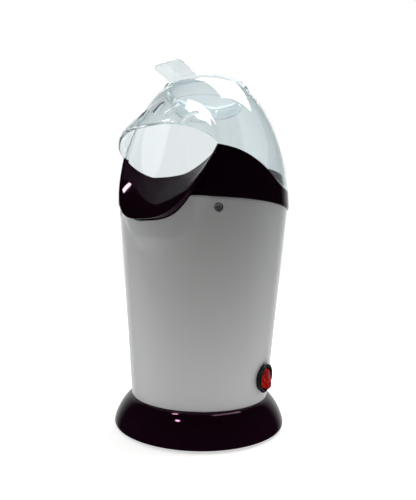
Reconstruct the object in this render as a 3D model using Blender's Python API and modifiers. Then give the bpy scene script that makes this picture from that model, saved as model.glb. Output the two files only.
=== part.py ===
"""Hot-air popcorn maker, modelled as an assembly of separate parts.

Units are metres, +Z is up, the chute faces -Y and the switch is on the +X side.
The body's own axis stands at (0, AXIS_Y), so that the box around the whole object
is centred on the origin. Every part is modelled about that axis under one empty.
"""

import math

import bmesh
import bpy
from mathutils import Vector

MM = 0.001
GAP = 0.3 * MM

# ---------------------------------------------------------------- driving dimensions
BASE_R = 71.2 * MM            # widest radius of the flared base
BASE_RIM_Z = 3.4 * MM         # height of that widest point
JOINT_R = 57.7 * MM           # radius where the white body meets the base
JOINT_Z = 24.2 * MM
BODY_TOP_R = 72.6 * MM        # radius where the white body meets the collar
BODY_TOP_Z = 181.5 * MM
WALL = 2.4 * MM               # moulded wall of body, collar and cover

COVER_R = 74.0 * MM           # collar and cover share one ellipsoid: this is its radius
COVER_RISE = 122.0 * MM       # its half height
COVER_Z = 180.0 * MM          # and its centre height
COVER_TOP_Z = 282.3 * MM      # the cover is open above this height

PEAK_Y = -53.0 * MM           # the collar's two front peaks
PEAK_Z = 220.5 * MM
SEAT_BACK_Z = 194.5 * MM      # the collar's top edge at the sides and back
FLANGE_TOP_Z = 208.0 * MM     # the collar's inner flange, inside the cover
DECK_Z = 200.8 * MM           # the deck around the popping chamber's mouth

LIP_Z = 171.5 * MM            # lowest point of the chute's floor, at its lip
LIP_VEE = 16.8 * MM           # rise of the floor's shallow V at the lip
LIP_VEE_POWER = 1.15          # near 1 for straight arms
LIP_SIDE_POWER = 5.5          # how late the sides turn up
LIP_UNDER_Z = 164.5 * MM      # underside of the lip
CHUTE_IN_X = 45.0 * MM        # half width of the chute's floor at the peaks
CHUTE_OUT_X = 47.0 * MM       # half width of the chute's outside there
CHUTE_BACK_Y = -50.0 * MM     # where the floor leaves the deck
CHUTE_OUT_POWER = 3.1         # how squarely the chute's outside turns up
CHUTE_BACK_POWER = 2.0        # the same for its floor at the deck
CHUTE_FLOOR = 3.2 * MM        # thickness of the chute's floor
CLEAR_Y = -96.0 * MM          # well in front of everything
LIP_SLOPE = 2.0               # the lip's face falls this much for each metre forward

MOUTH_SLOPE = 0.45            # the hood's edge rises this much for each metre forward
HOOD_HALF_X = 46.2 * MM       # half width of the hood's edge
HOOD_REACH = 28.0 * MM        # how far the hood's edge runs forward of the peaks
HOOD_ROOT_Z = 264.6 * MM      # top of the crease between cover and hood

CUP_RIM_R = 38.3 * MM
CUP_HOLE_R = 35.0 * MM
CUP_DEPTH = 11.0 * MM
CUP_WALL = 1.8 * MM
CUP_TAPER = 3.0 * MM          # how much narrower the floor is than the opening
CUP_RIM_H = 4.2 * MM
TAB_HALF_W = 12.9 * MM
TAB_TIP_Y = -59.8 * MM
TAB_RISE_DEG = 7.0

CHAMBER_R = 44.5 * MM
CHAMBER_FLOOR_Z = 108.0 * MM
SWITCH_Z = 44.0 * MM
SWITCH_R = 11.3 * MM          # bezel
ROCKER_R = 7.4 * MM
GLAND_Z = 14.5 * MM           # the mains lead's way in, at the back
POST_DEGREES = (0, 120, 240)  # the three posts under the fan, by angle from the front
POST_R = 44.0 * MM
LEG_R = 34.0 * MM             # the fan housing's legs stand on the same arms, nearer in
SIDE_SCREW_DEG = 41.5
SIDE_SCREW_Z = 173.8 * MM

FRONT_REACH = -PEAK_Y + (PEAK_Z - LIP_UNDER_Z) / LIP_SLOPE
AXIS_Y = (FRONT_REACH - COVER_R) / 2   # centres the box front to back

STEPS = 48                    # segments around the large turned parts

# ---------------------------------------------------------------- scene and materials
for old in list(bpy.data.objects):
    bpy.data.objects.remove(old, do_unlink=True)

parts = bpy.data.collections.new("popcorn_maker")
cutters = bpy.data.collections.new("cutters")
for collection in (parts, cutters):
    bpy.context.scene.collection.children.link(collection)

stand = bpy.data.objects.new("body_axis", None)
stand.location = (0, AXIS_Y, 0)
parts.objects.link(stand)


def material(name, color, roughness, metallic=0.0, alpha=1.0):
    made = bpy.data.materials.new(name)
    made.use_nodes = True
    shader = made.node_tree.nodes["Principled BSDF"]
    shader.inputs["Base Color"].default_value = (*color, 1.0)
    shader.inputs["Roughness"].default_value = roughness
    shader.inputs["Metallic"].default_value = metallic
    shader.inputs["Alpha"].default_value = alpha
    return made


WHITE = material("white_gloss", (0.80, 0.80, 0.81), 0.12)
PLUM = material("plum_black_gloss", (0.020, 0.008, 0.018), 0.10)
CLEAR = material("clear_plastic", (0.86, 0.92, 0.92), 0.05, alpha=0.35)
RED = material("red_rocker", (0.65, 0.03, 0.03), 0.20)
BLACK = material("black_plastic", (0.02, 0.02, 0.02), 0.35)
RUBBER = material("foot_rubber", (0.03, 0.03, 0.03), 0.8)
STEEL = material("zinc_steel", (0.60, 0.60, 0.60), 0.30, 1.0)
ALUMINIUM = material("spun_aluminium", (0.80, 0.80, 0.80), 0.28, 1.0)
MICA = material("mica_board", (0.62, 0.55, 0.42), 0.55)
NICHROME = material("nichrome_wire", (0.35, 0.32, 0.30), 0.45, 1.0)
BOARD = material("circuit_board", (0.25, 0.35, 0.14), 0.5)
FAN_GREY = material("fan_plastic", (0.30, 0.31, 0.32), 0.5)
CERAMIC = material("white_ceramic", (0.82, 0.80, 0.76), 0.4)
WIRE_WHITE = material("wire_white", (0.75, 0.75, 0.73), 0.45)


# ---------------------------------------------------------------- modelling helpers
def add(name, mesh, finish=None, at=(0, 0, 0), turn=None, parent=stand):
    """A named object in the parts, or, with no finish, a hidden cutter."""
    made = bpy.data.objects.new(name, mesh)
    made.parent = parent
    made.location = at
    if turn is not None:
        made.rotation_euler = turn
    if finish is None:
        cutters.objects.link(made)
        made.hide_render = True
        made.display_type = "WIRE"
    else:
        parts.objects.link(made)
        mesh.materials.append(finish)
    return made


def finish_mesh(bm, name):
    bmesh.ops.recalc_face_normals(bm, faces=bm.faces)
    mesh = bpy.data.meshes.new(name)
    bm.to_mesh(mesh)
    bm.free()
    return mesh


def round_off(target, degrees=40.0):
    target.data.shade_smooth()
    target.data.set_sharp_from_angle(angle=math.radians(degrees))


def turned(name, profile, finish=None, steps=STEPS, closed=True, **place):
    """Turn (radius, height) points, listed down the outer side, about the local Z axis."""
    bm = bmesh.new()
    points = [bm.verts.new((r, 0, z)) for r, z in profile]
    for first, second in zip(points, points[1:]):
        bm.edges.new((first, second))
    if closed:
        bm.edges.new((points[-1], points[0]))
    mesh = bpy.data.meshes.new(name)
    bm.to_mesh(mesh)
    bm.free()
    made = add(name, mesh, finish, **place)
    screw = made.modifiers.new("turn", "SCREW")
    screw.steps = steps
    screw.render_steps = steps
    screw.use_merge_vertices = True
    screw.merge_threshold = 1e-6
    screw.use_normal_calculate = False
    screw.use_smooth_shade = finish is not None
    return made


def box(name, low, high, finish=None, bevel=0.0, **place):
    """A box between two corners, with its long edges rounded if bevel is given."""
    low, high = Vector(low), Vector(high)
    bm = bmesh.new()
    bmesh.ops.create_cube(bm, size=1.0)
    bmesh.ops.scale(bm, vec=high - low, verts=bm.verts)
    bmesh.ops.translate(bm, vec=(low + high) / 2, verts=bm.verts)
    made = add(name, finish_mesh(bm, name), finish, **place)
    if bevel:
        soft = made.modifiers.new("soft_edges", "BEVEL")
        soft.width = bevel
        soft.segments = 2
    return made


def rod(name, start, end, radius, finish=None, steps=24, **place):
    """A cylinder between two points."""
    start, end = Vector(start), Vector(end)
    bm = bmesh.new()
    bmesh.ops.create_cone(bm, cap_ends=True, segments=steps, radius1=radius, radius2=radius,
                          depth=(end - start).length)
    bm.transform((end - start).to_track_quat("Z", "Y").to_matrix().to_4x4())
    bmesh.ops.translate(bm, vec=(start + end) / 2, verts=bm.verts)
    return add(name, finish_mesh(bm, name), finish, **place)


def loft(name, sections, finish=None, **place):
    """A closed body through rings of points that all have the same count."""
    bm = bmesh.new()
    rings = [[bm.verts.new(point) for point in section] for section in sections]
    count = len(rings[0])
    for near, far in zip(rings, rings[1:]):
        for i in range(count):
            j = (i + 1) % count
            bm.faces.new((near[i], near[j], far[j], far[i]))
    ends = [bm.faces.new(rings[0][::-1]), bm.faces.new(rings[-1])]
    bmesh.ops.triangulate(bm, faces=ends)
    return add(name, finish_mesh(bm, name), finish, **place)


def prism(name, outline, half_width, finish=None, **place):
    """A (y, z) outline drawn through from -half_width to +half_width along X."""
    sections = [[(x, y, z) for y, z in outline] for x in (-half_width, half_width)]
    return loft(name, sections, finish, **place)


def boolean(target, other, operation="DIFFERENCE", solver="EXACT"):
    step = target.modifiers.new(f"{operation.lower()}_{other.name}", "BOOLEAN")
    step.operation = operation
    step.solver = solver
    step.object = other
    return step


def joined(name, pieces):
    """One hidden cutter mesh that holds several separate closed shapes."""
    bm = bmesh.new()
    for piece in pieces:
        copy = piece.data.copy()
        copy.transform(piece.matrix_basis)
        bm.from_mesh(copy)
        bpy.data.meshes.remove(copy)
        bpy.data.objects.remove(piece, do_unlink=True)
    return add(name, finish_mesh(bm, name))


def wire(name, route, radius, finish):
    """A tube along a smooth curve through the route's points."""
    curve = bpy.data.curves.new(name, "CURVE")
    curve.dimensions = "3D"
    curve.bevel_depth = radius
    curve.bevel_resolution = 1
    curve.use_fill_caps = True
    spline = curve.splines.new("POLY")
    points = smooth_line(route, 3)
    spline.points.add(len(points) - 1)
    for point, place in zip(spline.points, points):
        point.co = (*place, 1.0)
    return add(name, curve, finish)


def smooth_line(points, per_span):
    """Catmull-Rom points through the given ones, ends included."""
    path = [Vector(point) for point in points]
    padded = [2 * path[0] - path[1], *path, 2 * path[-1] - path[-2]]
    line = []
    for a, b, c, d in zip(padded, padded[1:], padded[2:], padded[3:]):
        for step in range(per_span):
            t = step / per_span
            line.append(0.5 * (2 * b + (c - a) * t + (2 * a - 5 * b + 4 * c - d) * t ** 2
                               + (3 * b - a - 3 * c + d) * t ** 3))
    line.append(path[-1])
    return line


def polar(degrees, radius, z=0.0):
    """A point by its angle from the front (-Y), positive towards +X."""
    turn = math.radians(degrees)
    return Vector((radius * math.sin(turn), -radius * math.cos(turn), z))


# ---------------------------------------------------------------- shared surfaces
def body_r(z):
    """Outer radius of the white body."""
    share = (z - JOINT_Z) / (BODY_TOP_Z - JOINT_Z)
    return JOINT_R + share * (BODY_TOP_R - JOINT_R)


def cover_r(z, inset=0.0):
    """Radius of the cover's ellipsoid, or of one that lies inset within it."""
    share = (z - COVER_Z) / (COVER_RISE - inset)
    return (COVER_R - inset) * math.sqrt(max(0.0, 1 - share * share))


def cover_arc(low, high, inset, count):
    """(radius, height) points on the ellipsoid, from low to high."""
    heights = [low + (high - low) * math.sin(math.pi / 2 * i / count) for i in range(count + 1)]
    return [(cover_r(z, inset), z) for z in heights]


def seat_line():
    """The collar's top edge in side view: high at the peaks, level round the back."""
    shape = [(PEAK_Y, PEAK_Z), (-40 * MM, 217.2 * MM), (-25 * MM, 209.8 * MM),
             (-12 * MM, 201.6 * MM), (2 * MM, 195.9 * MM), (17 * MM, SEAT_BACK_Z)]
    return [(v.x, v.y) for v in smooth_line([Vector((y, z)) for y, z in shape], 4)]


def lip_y(z):
    """The plane of the chute's lip: how far forward it is at a height."""
    return PEAK_Y - (PEAK_Z - z) / LIP_SLOPE


def chute_u(half_width, low, high, power, count=7):
    """A U across the chute in (x, z): a power curve, closest together near its tips."""
    points = []
    for i in range(-count, count + 1):
        share = math.sin(math.pi / 2 * i / count)
        points.append((half_width * share, low + (high - low) * abs(share) ** power))
    return points


def lip_vee(count=7):
    """The floor's edge at the lip in (x, z): a shallow V that turns up into steep sides."""
    points = []
    for i in range(-count, count + 1):
        share = math.sin(math.pi / 2 * i / count)
        side = (PEAK_Z - LIP_Z - LIP_VEE) * abs(share) ** LIP_SIDE_POWER
        arm = LIP_VEE * abs(share) ** LIP_VEE_POWER
        points.append((CHUTE_IN_X * share, LIP_Z + arm + side))
    return points


# ---------------------------------------------------------------- base
def make_base():
    flare = []
    for i in range(8):
        turn = math.pi / 2 * i / 7
        flare.append((JOINT_R + (BASE_R - JOINT_R) * math.sin(turn) ** 1.4,
                      BASE_RIM_Z + (JOINT_Z - BASE_RIM_Z) * math.cos(turn) ** 1.4))
    inner = [(r - 2.3 * MM, z - 1.6 * MM) for r, z in reversed(flare[1:-1:2])]
    spigot_r = body_r(JOINT_Z + 7 * MM) - WALL - 1.4 * MM
    skirt = turned("base_skirt", [
        (spigot_r, JOINT_Z + 6.5 * MM), (spigot_r, JOINT_Z), *flare,
        (BASE_R - 0.7 * MM, 1.7 * MM), (BASE_R - 2.3 * MM, 1.7 * MM), *inner,
        (spigot_r - 1.8 * MM, JOINT_Z - 2.4 * MM), (spigot_r - 1.8 * MM, JOINT_Z + 6.5 * MM),
    ], PLUM)
    lead_hole = rod("lead_hole", (0, 50 * MM, GLAND_Z), (0, 80 * MM, GLAND_Z), 5.3 * MM)
    boolean(skirt, lead_hole)

    bosses = []
    for i in range(4):
        foot_at = polar(45 + 90 * i, 52 * MM)
        bosses.append(rod(f"boss_{i}", foot_at + Vector((0, 0, 7 * MM)),
                          foot_at + Vector((0, 0, 24 * MM)), 3.2 * MM, steps=12))
    skirt_bosses = joined("skirt_bosses", bosses)
    boolean(skirt, skirt_bosses, "UNION")
    pilots = []
    for i in range(4):
        foot_at = polar(45 + 90 * i, 52 * MM)
        pilots.append(rod(f"pilot_{i}", foot_at + Vector((0, 0, 5 * MM)),
                          foot_at + Vector((0, 0, 18 * MM)), 1.6 * MM, steps=12))
    boolean(skirt, joined("skirt_pilots", pilots))
    round_off(skirt)

    plate = turned("base_plate", [(0, 6.6 * MM), (65.5 * MM, 6.6 * MM), (65.5 * MM, 4.4 * MM),
                                  (0, 4.4 * MM)], BLACK, steps=40, closed=False)
    posts = [rod(f"post_{turn}", polar(turn, POST_R, 5 * MM), polar(turn, POST_R, 29.6 * MM),
                 4 * MM, steps=12) for turn in POST_DEGREES]
    boolean(plate, joined("plate_posts", posts), "UNION")
    slots = []
    for i in range(12):
        turn = 30 * i + 15
        slots.append(box(f"slot_{i}", (-2.0 * MM, -34 * MM, 2 * MM), (2.0 * MM, -17 * MM, 9 * MM),
                         turn=(0, 0, math.radians(turn))))
    boolean(plate, joined("plate_slots", slots))
    holes = [rod(f"hole_{i}", polar(45 + 90 * i, 52 * MM, 2 * MM), polar(45 + 90 * i, 52 * MM, 9 * MM),
                 1.8 * MM, steps=12) for i in range(4)]
    boolean(plate, joined("plate_holes", holes))

    for i in range(4):
        turn = 45 + 90 * i
        turned(f"foot_{i + 1}", [(0, 4.1 * MM), (6 * MM, 4.1 * MM), (6.5 * MM, 1.0 * MM),
                                 (5.7 * MM, 0), (0, 0)], RUBBER, steps=20, closed=False,
               at=polar(turn + 18, 57.5 * MM))
        turned(f"base_screw_{i + 1}", [(0, 16 * MM), (1.3 * MM, 16 * MM), (1.3 * MM, 4.1 * MM),
                                       (3 * MM, 4.1 * MM), (2.4 * MM, 2.6 * MM), (0, 2.6 * MM)],
               STEEL, steps=12, closed=False, at=polar(turn, 52 * MM))

    gland = turned("cord_gland", [(5 * MM, 0), (5 * MM, -15.5 * MM), (7 * MM, -15.5 * MM),
                                  (7 * MM, -17.5 * MM), (3.3 * MM, -17.5 * MM), (3.3 * MM, 0)],
                   BLACK, steps=20, at=(0, 71.6 * MM, GLAND_Z), turn=(-math.pi / 2, 0, 0))
    round_off(gland)


# ---------------------------------------------------------------- white body
def make_housing():
    top, low = BODY_TOP_Z, JOINT_Z + GAP
    housing = turned("outer_housing", [
        (body_r(top), top), (body_r(low), low),
        (body_r(low) - WALL, low), (body_r(top) - WALL, top)], WHITE)

    # The bib: a fairing that swells from the body up to the chute's lip.
    bib_low, bib_top, rows, half_count = 139.8 * MM, top - 0.5 * MM, 6, 7
    sections = []
    for row in range(rows + 1):
        share = row / rows
        z = bib_low + (bib_top - bib_low) * share
        half_turn = math.asin(43.5 * MM * (0.02 + 0.98 * share) ** 0.5 / body_r(z))
        swell = 6.2 * MM * share ** 0.9
        outer, inner = [], []
        for i in range(-half_count, half_count + 1):
            part = i / half_count
            turn = math.degrees(half_turn) * part
            outer.append(polar(turn, body_r(z) - 0.25 * MM + swell * (1 - part * part), z))
            inner.append(polar(turn, body_r(z) - 1.6 * MM, z))
        sections.append(outer + inner[::-1])
    boolean(housing, loft("bib", sections), "UNION")

    outline = chute_u(CHUTE_OUT_X + 0.5 * MM, LIP_UNDER_Z - 0.4 * MM, PEAK_Z, CHUTE_OUT_POWER)
    dip = loft("chute_dip", [[(x, y, z) for x, z in outline] for y in (CLEAR_Y, -40 * MM)])
    boolean(housing, dip)

    for side, name in ((1, "right"), (-1, "left")):
        turn = side * SIDE_SCREW_DEG
        recess = rod(f"screw_recess_{name}", polar(turn, 60 * MM, SIDE_SCREW_Z),
                     polar(turn, 80 * MM, SIDE_SCREW_Z), 3.4 * MM, steps=20)
        boolean(housing, recess)
    switch_hole = rod("switch_hole", (45 * MM, 0, SWITCH_Z), (75 * MM, 0, SWITCH_Z), 10.3 * MM)
    boolean(housing, switch_hole)
    round_off(housing, 25)


# ---------------------------------------------------------------- collar and chute
def make_chute_solids():
    """The chute's outside, its hollow, and the space under its floor, as cutters."""
    outside = chute_u(CHUTE_OUT_X, LIP_UNDER_Z, PEAK_Z - 0.6 * MM, CHUTE_OUT_POWER)
    scoop = loft("scoop", [[(x, lip_y(z), z) for x, z in outside],
                           [(x, -51.5 * MM, z) for x, z in outside]])

    front = lip_vee()
    back = chute_u(CHUTE_IN_X, DECK_Z + 0.1 * MM, PEAK_Z, CHUTE_BACK_POWER)

    def hollow_section(share, drop=0.0):
        ring = []
        for (x1, z1), (x2, z2) in zip(back, front):
            start, end = Vector((x1, CHUTE_BACK_Y, z1)), Vector((x2, lip_y(z2), z2))
            ring.append(start.lerp(end, share) - Vector((0, 0, drop)))
        deepest = ring[len(ring) // 2].y
        for x in (CHUTE_IN_X, -CHUTE_IN_X):
            ring.append(Vector((x, deepest, 245 * MM)))
        return ring

    def trough(shares, drop=0.0):
        """Sections from the deck out over the lip, and one more well clear of it."""
        rings = [hollow_section(share, drop) for share in shares]
        rings.append([Vector((point.x, CLEAR_Y, point.z)) for point in rings[-1]])
        return rings

    hollow = loft("chute_hollow", trough((-0.2, 0.35, 0.7, 1.0, 1.4)))

    inset = 2.4 * MM
    under = chute_u(CHUTE_OUT_X - inset, LIP_UNDER_Z + inset, PEAK_Z, CHUTE_OUT_POWER)
    cavity = loft("chute_underside", [
        [(x, lip_y(z) + 2.8 * MM, z) for x, z in under], [(x, -40 * MM, z) for x, z in under]])
    floor = loft("chute_floor_guard", trough((-0.8, 0.35, 0.7, 1.0, 1.4), CHUTE_FLOOR))
    boolean(cavity, floor, solver="MANIFOLD")
    return scoop, hollow, cavity


def make_collar():
    low = BODY_TOP_Z + GAP
    outer = cover_arc(low, 223 * MM, 0, 6)
    inner = cover_arc(low, 223 * MM, WALL + 1.0 * MM, 5)
    collar = turned("collar_chute", outer[::-1] + inner, PLUM)
    seat = seat_line()
    above = [(-90 * MM, PEAK_Z), *seat, (90 * MM, SEAT_BACK_Z), (90 * MM, 240 * MM),
             (-90 * MM, 240 * MM)]
    boolean(collar, prism("above_seat", above, 90 * MM))

    # Flange inside the cover, deck round the chamber's mouth and spigot inside the body.
    flange_out = [(cover_r(z, 3.1 * MM), z) for z in (FLANGE_TOP_Z, 196 * MM, 190 * MM)]
    flange_in = [(cover_r(z, 5.2 * MM), z) for z in (190 * MM, 196 * MM, FLANGE_TOP_Z)]
    flange = turned("collar_flange", flange_out + flange_in)
    deck = turned("collar_deck", [
        (68.9 * MM, DECK_Z + 1.8 * MM), (68.9 * MM, DECK_Z - 1.0 * MM),
        (CHAMBER_R - 0.8 * MM, DECK_Z - 2.6 * MM), (CHAMBER_R - 0.8 * MM, DECK_Z)])
    spigot_top, spigot_low = low + 3 * MM, 168 * MM
    spigot_r = [body_r(z) - WALL - 0.5 * MM for z in (low, spigot_low)]
    spigot = turned("collar_spigot", [
        (cover_r(spigot_top, 2 * MM), spigot_top), (cover_r(low, 2 * MM), low + 0.6 * MM),
        (spigot_r[0], low), (spigot_r[1], spigot_low),
        (spigot_r[1] - 2 * MM, spigot_low), (spigot_r[0] - 2 * MM, spigot_top)])
    scoop, hollow, cavity = make_chute_solids()
    # The turned pieces share their seams' angles, which the exact solver leaves open.
    for piece in (spigot, deck, flange, scoop):
        boolean(collar, piece, "UNION", "MANIFOLD")
    for piece in (hollow, cavity):
        boolean(collar, piece, solver="MANIFOLD")

    for side, name in ((1, "right"), (-1, "left")):
        turn = side * SIDE_SCREW_DEG
        bore = rod(f"screw_bore_{name}", polar(turn, 58 * MM, SIDE_SCREW_Z),
                   polar(turn, 75 * MM, SIDE_SCREW_Z), 1.7 * MM, steps=12)
        boolean(collar, bore, solver="MANIFOLD")
        seat_r = body_r(SIDE_SCREW_Z) - WALL
        screw = turned(f"side_screw_{name}", [
            (0, 1.7 * MM), (1.9 * MM, 1.6 * MM), (2.9 * MM, 0.9 * MM), (2.9 * MM, 0),
            (1.35 * MM, 0), (1.35 * MM, -9 * MM), (0, -9 * MM)], STEEL, steps=20, closed=False,
            at=polar(turn, seat_r, SIDE_SCREW_Z))
        screw.rotation_euler = polar(turn, 1.0).to_track_quat("Z", "Y").to_euler()
        for half_x, half_y in ((1.7 * MM, 0.3 * MM), (0.3 * MM, 1.7 * MM)):
            boolean(screw, box("cross_bar", (-half_x, -half_y, 0.8 * MM),
                               (half_x, half_y, 3 * MM), at=screw.location,
                               turn=screw.rotation_euler))
    round_off(collar, 30)


# ---------------------------------------------------------------- clear cover and cup
def hood_section(y, inset):
    """One arch of the hood in the plane y, from its right foot over the top to its left."""
    forward = PEAK_Y - y
    reach = HOOD_REACH - inset
    half = (HOOD_HALF_X - inset) * math.sqrt(max(0.0004, 1 - (max(forward, 0.0) / reach) ** 2))
    foot = PEAK_Z + MOUTH_SLOPE * forward
    tip_z = PEAK_Z + MOUTH_SLOPE * HOOD_REACH
    share = forward / HOOD_REACH
    crown = HOOD_ROOT_Z + (tip_z - HOOD_ROOT_Z) * share + 6.5 * MM * share * (1 - share)
    crown -= 1.35 * inset
    power = 1.65 + 0.35 * min(max(share, 0.0), 1.0)
    ring = [(half, y, foot - 12 * MM)]
    for i in range(13):
        turn = math.pi * i / 12
        x = half * math.copysign(abs(math.cos(turn)) ** (2 / power), math.cos(turn))
        ring.append((x, y, foot + (crown - foot) * abs(math.sin(turn)) ** (2 / power)))
    ring.append((-half, y, foot - 12 * MM))
    return ring


def hood_solid(name, inset, back, tip_gap):
    reach = HOOD_REACH - inset
    stations = [back, PEAK_Y + 1.5 * MM]
    for turn in (18, 34, 48, 60, 70, 80):
        stations.append(PEAK_Y - (reach - tip_gap) * math.sin(math.radians(turn)))
    stations.append(PEAK_Y - (reach - tip_gap))
    return loft(name, [hood_section(y, inset) for y in stations])


def make_cover():
    low = SEAT_BACK_Z - 4 * MM
    arc = cover_arc(low, COVER_TOP_Z, 0, 9)
    rise = COVER_TOP_Z - 1.8 * MM
    inner_arc = cover_arc(low - 2 * MM, rise, WALL, 7)
    cover = turned("dome_cover", [(0, COVER_TOP_Z), *arc[::-1], (0, low)], CLEAR, closed=False)
    boolean(cover, hood_solid("hood_outside", 0.0, -44 * MM, 0.0), "UNION")
    boolean(cover, turned("cover_inside", [(0, rise), *inner_arc[::-1], (0, low - 2 * MM)],
                          closed=False))
    boolean(cover, hood_solid("hood_inside", WALL * 0.92, -38 * MM, 0.2 * MM))

    seat = [(y, z + GAP) for y, z in seat_line()]
    far = 100 * MM
    below = [(-far, PEAK_Z + GAP + MOUTH_SLOPE * (far + PEAK_Y)), *seat,
             (far, SEAT_BACK_Z + GAP), (far, 150 * MM), (-far, 150 * MM)]
    boolean(cover, prism("below_seat", below, far))
    boolean(cover, rod("cup_opening", (0, 0, 270 * MM), (0, 0, 300 * MM), CUP_HOLE_R, steps=STEPS))

    vents = []
    for i in range(-2, 3):
        tilt = math.radians(-40)
        vents.append(box(f"vent_{i}", (-1.9 * MM, -8.5 * MM, -9 * MM), (1.9 * MM, 8.5 * MM, 9 * MM),
                         at=(14.5 * MM * i, -66 * MM, (248 - 3.4 * i * i) * MM),
                         turn=(-tilt, math.radians(17 * i), 0)))
    boolean(cover, joined("hood_vents", vents))
    round_off(cover, 30)
    return cover


def make_cup():
    seat = COVER_TOP_Z + GAP
    wall_r = CUP_HOLE_R - 0.8 * MM
    floor_r = wall_r - CUP_TAPER
    floor_z = seat - CUP_DEPTH
    thick = CUP_WALL
    cup = turned("measuring_cup", [
        (0, floor_z + thick), (floor_r - thick, floor_z + thick),
        (wall_r - thick, seat + CUP_RIM_H - 0.6 * MM), (wall_r - 0.6 * thick, seat + CUP_RIM_H),
        (CUP_RIM_R - 0.8 * MM, seat + CUP_RIM_H), (CUP_RIM_R, seat + CUP_RIM_H - 0.8 * MM),
        (CUP_RIM_R, seat), (wall_r, seat), (floor_r, floor_z), (0, floor_z)], CLEAR, closed=False)
    tab_root = Vector((0, -33.5 * MM, seat + CUP_RIM_H - 1.1 * MM))
    length = -TAB_TIP_Y - 33.5 * MM
    outline = []
    for i in range(9):
        turn = math.radians(-90 + 180 * i / 8)
        x = TAB_HALF_W * math.copysign(abs(math.sin(turn)) ** 0.55, math.sin(turn))
        outline.append((x, -length + 5.5 * MM - 5.5 * MM * abs(math.cos(turn)) ** 0.55))
    outline = [(-TAB_HALF_W, 4 * MM), *outline, (TAB_HALF_W, 4 * MM)]
    tab = loft("tab", [[(x, y, z) for x, y in outline] for z in (-0.9 * MM, 0.9 * MM)],
               at=tab_root, turn=(math.radians(-TAB_RISE_DEG), 0, 0))
    boolean(cup, tab, "UNION")
    round_off(cup, 30)


# ---------------------------------------------------------------- switch
def make_switch():
    lean = math.atan((BODY_TOP_R - JOINT_R) / (BODY_TOP_Z - JOINT_Z))
    holder = bpy.data.objects.new("switch_axis", None)
    holder.parent = stand
    holder.location = (body_r(SWITCH_Z), 0, SWITCH_Z)
    holder.rotation_euler = (0, math.pi / 2 + lean, 0)
    parts.objects.link(holder)
    # In the holder's frame +Z leaves the body and +X points down.
    face, tube_r = 1.5 * MM, 9.8 * MM
    turned("switch_bezel", [
        (SWITCH_R - 0.8 * MM, face + 1.9 * MM), (SWITCH_R, face + 1.1 * MM), (SWITCH_R, face),
        (tube_r, face), (tube_r, -7 * MM), (tube_r - 0.8 * MM, -7 * MM),
        (tube_r - 0.8 * MM, face + 1.6 * MM), (tube_r - 0.4 * MM, face + 1.9 * MM)],
        BLACK, steps=32, parent=holder)
    rocker = turned("switch_rocker", [
        (0, face + 5.5 * MM), (ROCKER_R, face + 5.5 * MM), (ROCKER_R, -5 * MM), (0, -5 * MM)],
        RED, steps=28, closed=False, parent=holder)
    # Two slopes meet at the middle: the lower half stands out, the upper half is pressed in.
    above = prism("rocker_slopes", [
        (-12 * MM, face + 0.2 * MM), (0, face + 1.7 * MM), (ROCKER_R - 1 * MM, face + 4.6 * MM),
        (12 * MM, face + 4.6 * MM), (12 * MM, 20 * MM), (-12 * MM, 20 * MM)], 12 * MM,
        turn=(0, 0, -math.pi / 2), parent=holder)
    boolean(rocker, above)
    round_off(rocker, 20)
    box("switch_body", (-6.5 * MM, -6.5 * MM, -24 * MM), (6.5 * MM, 6.5 * MM, -8.4 * MM), BLACK,
        bevel=0.8 * MM, parent=holder)


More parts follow.
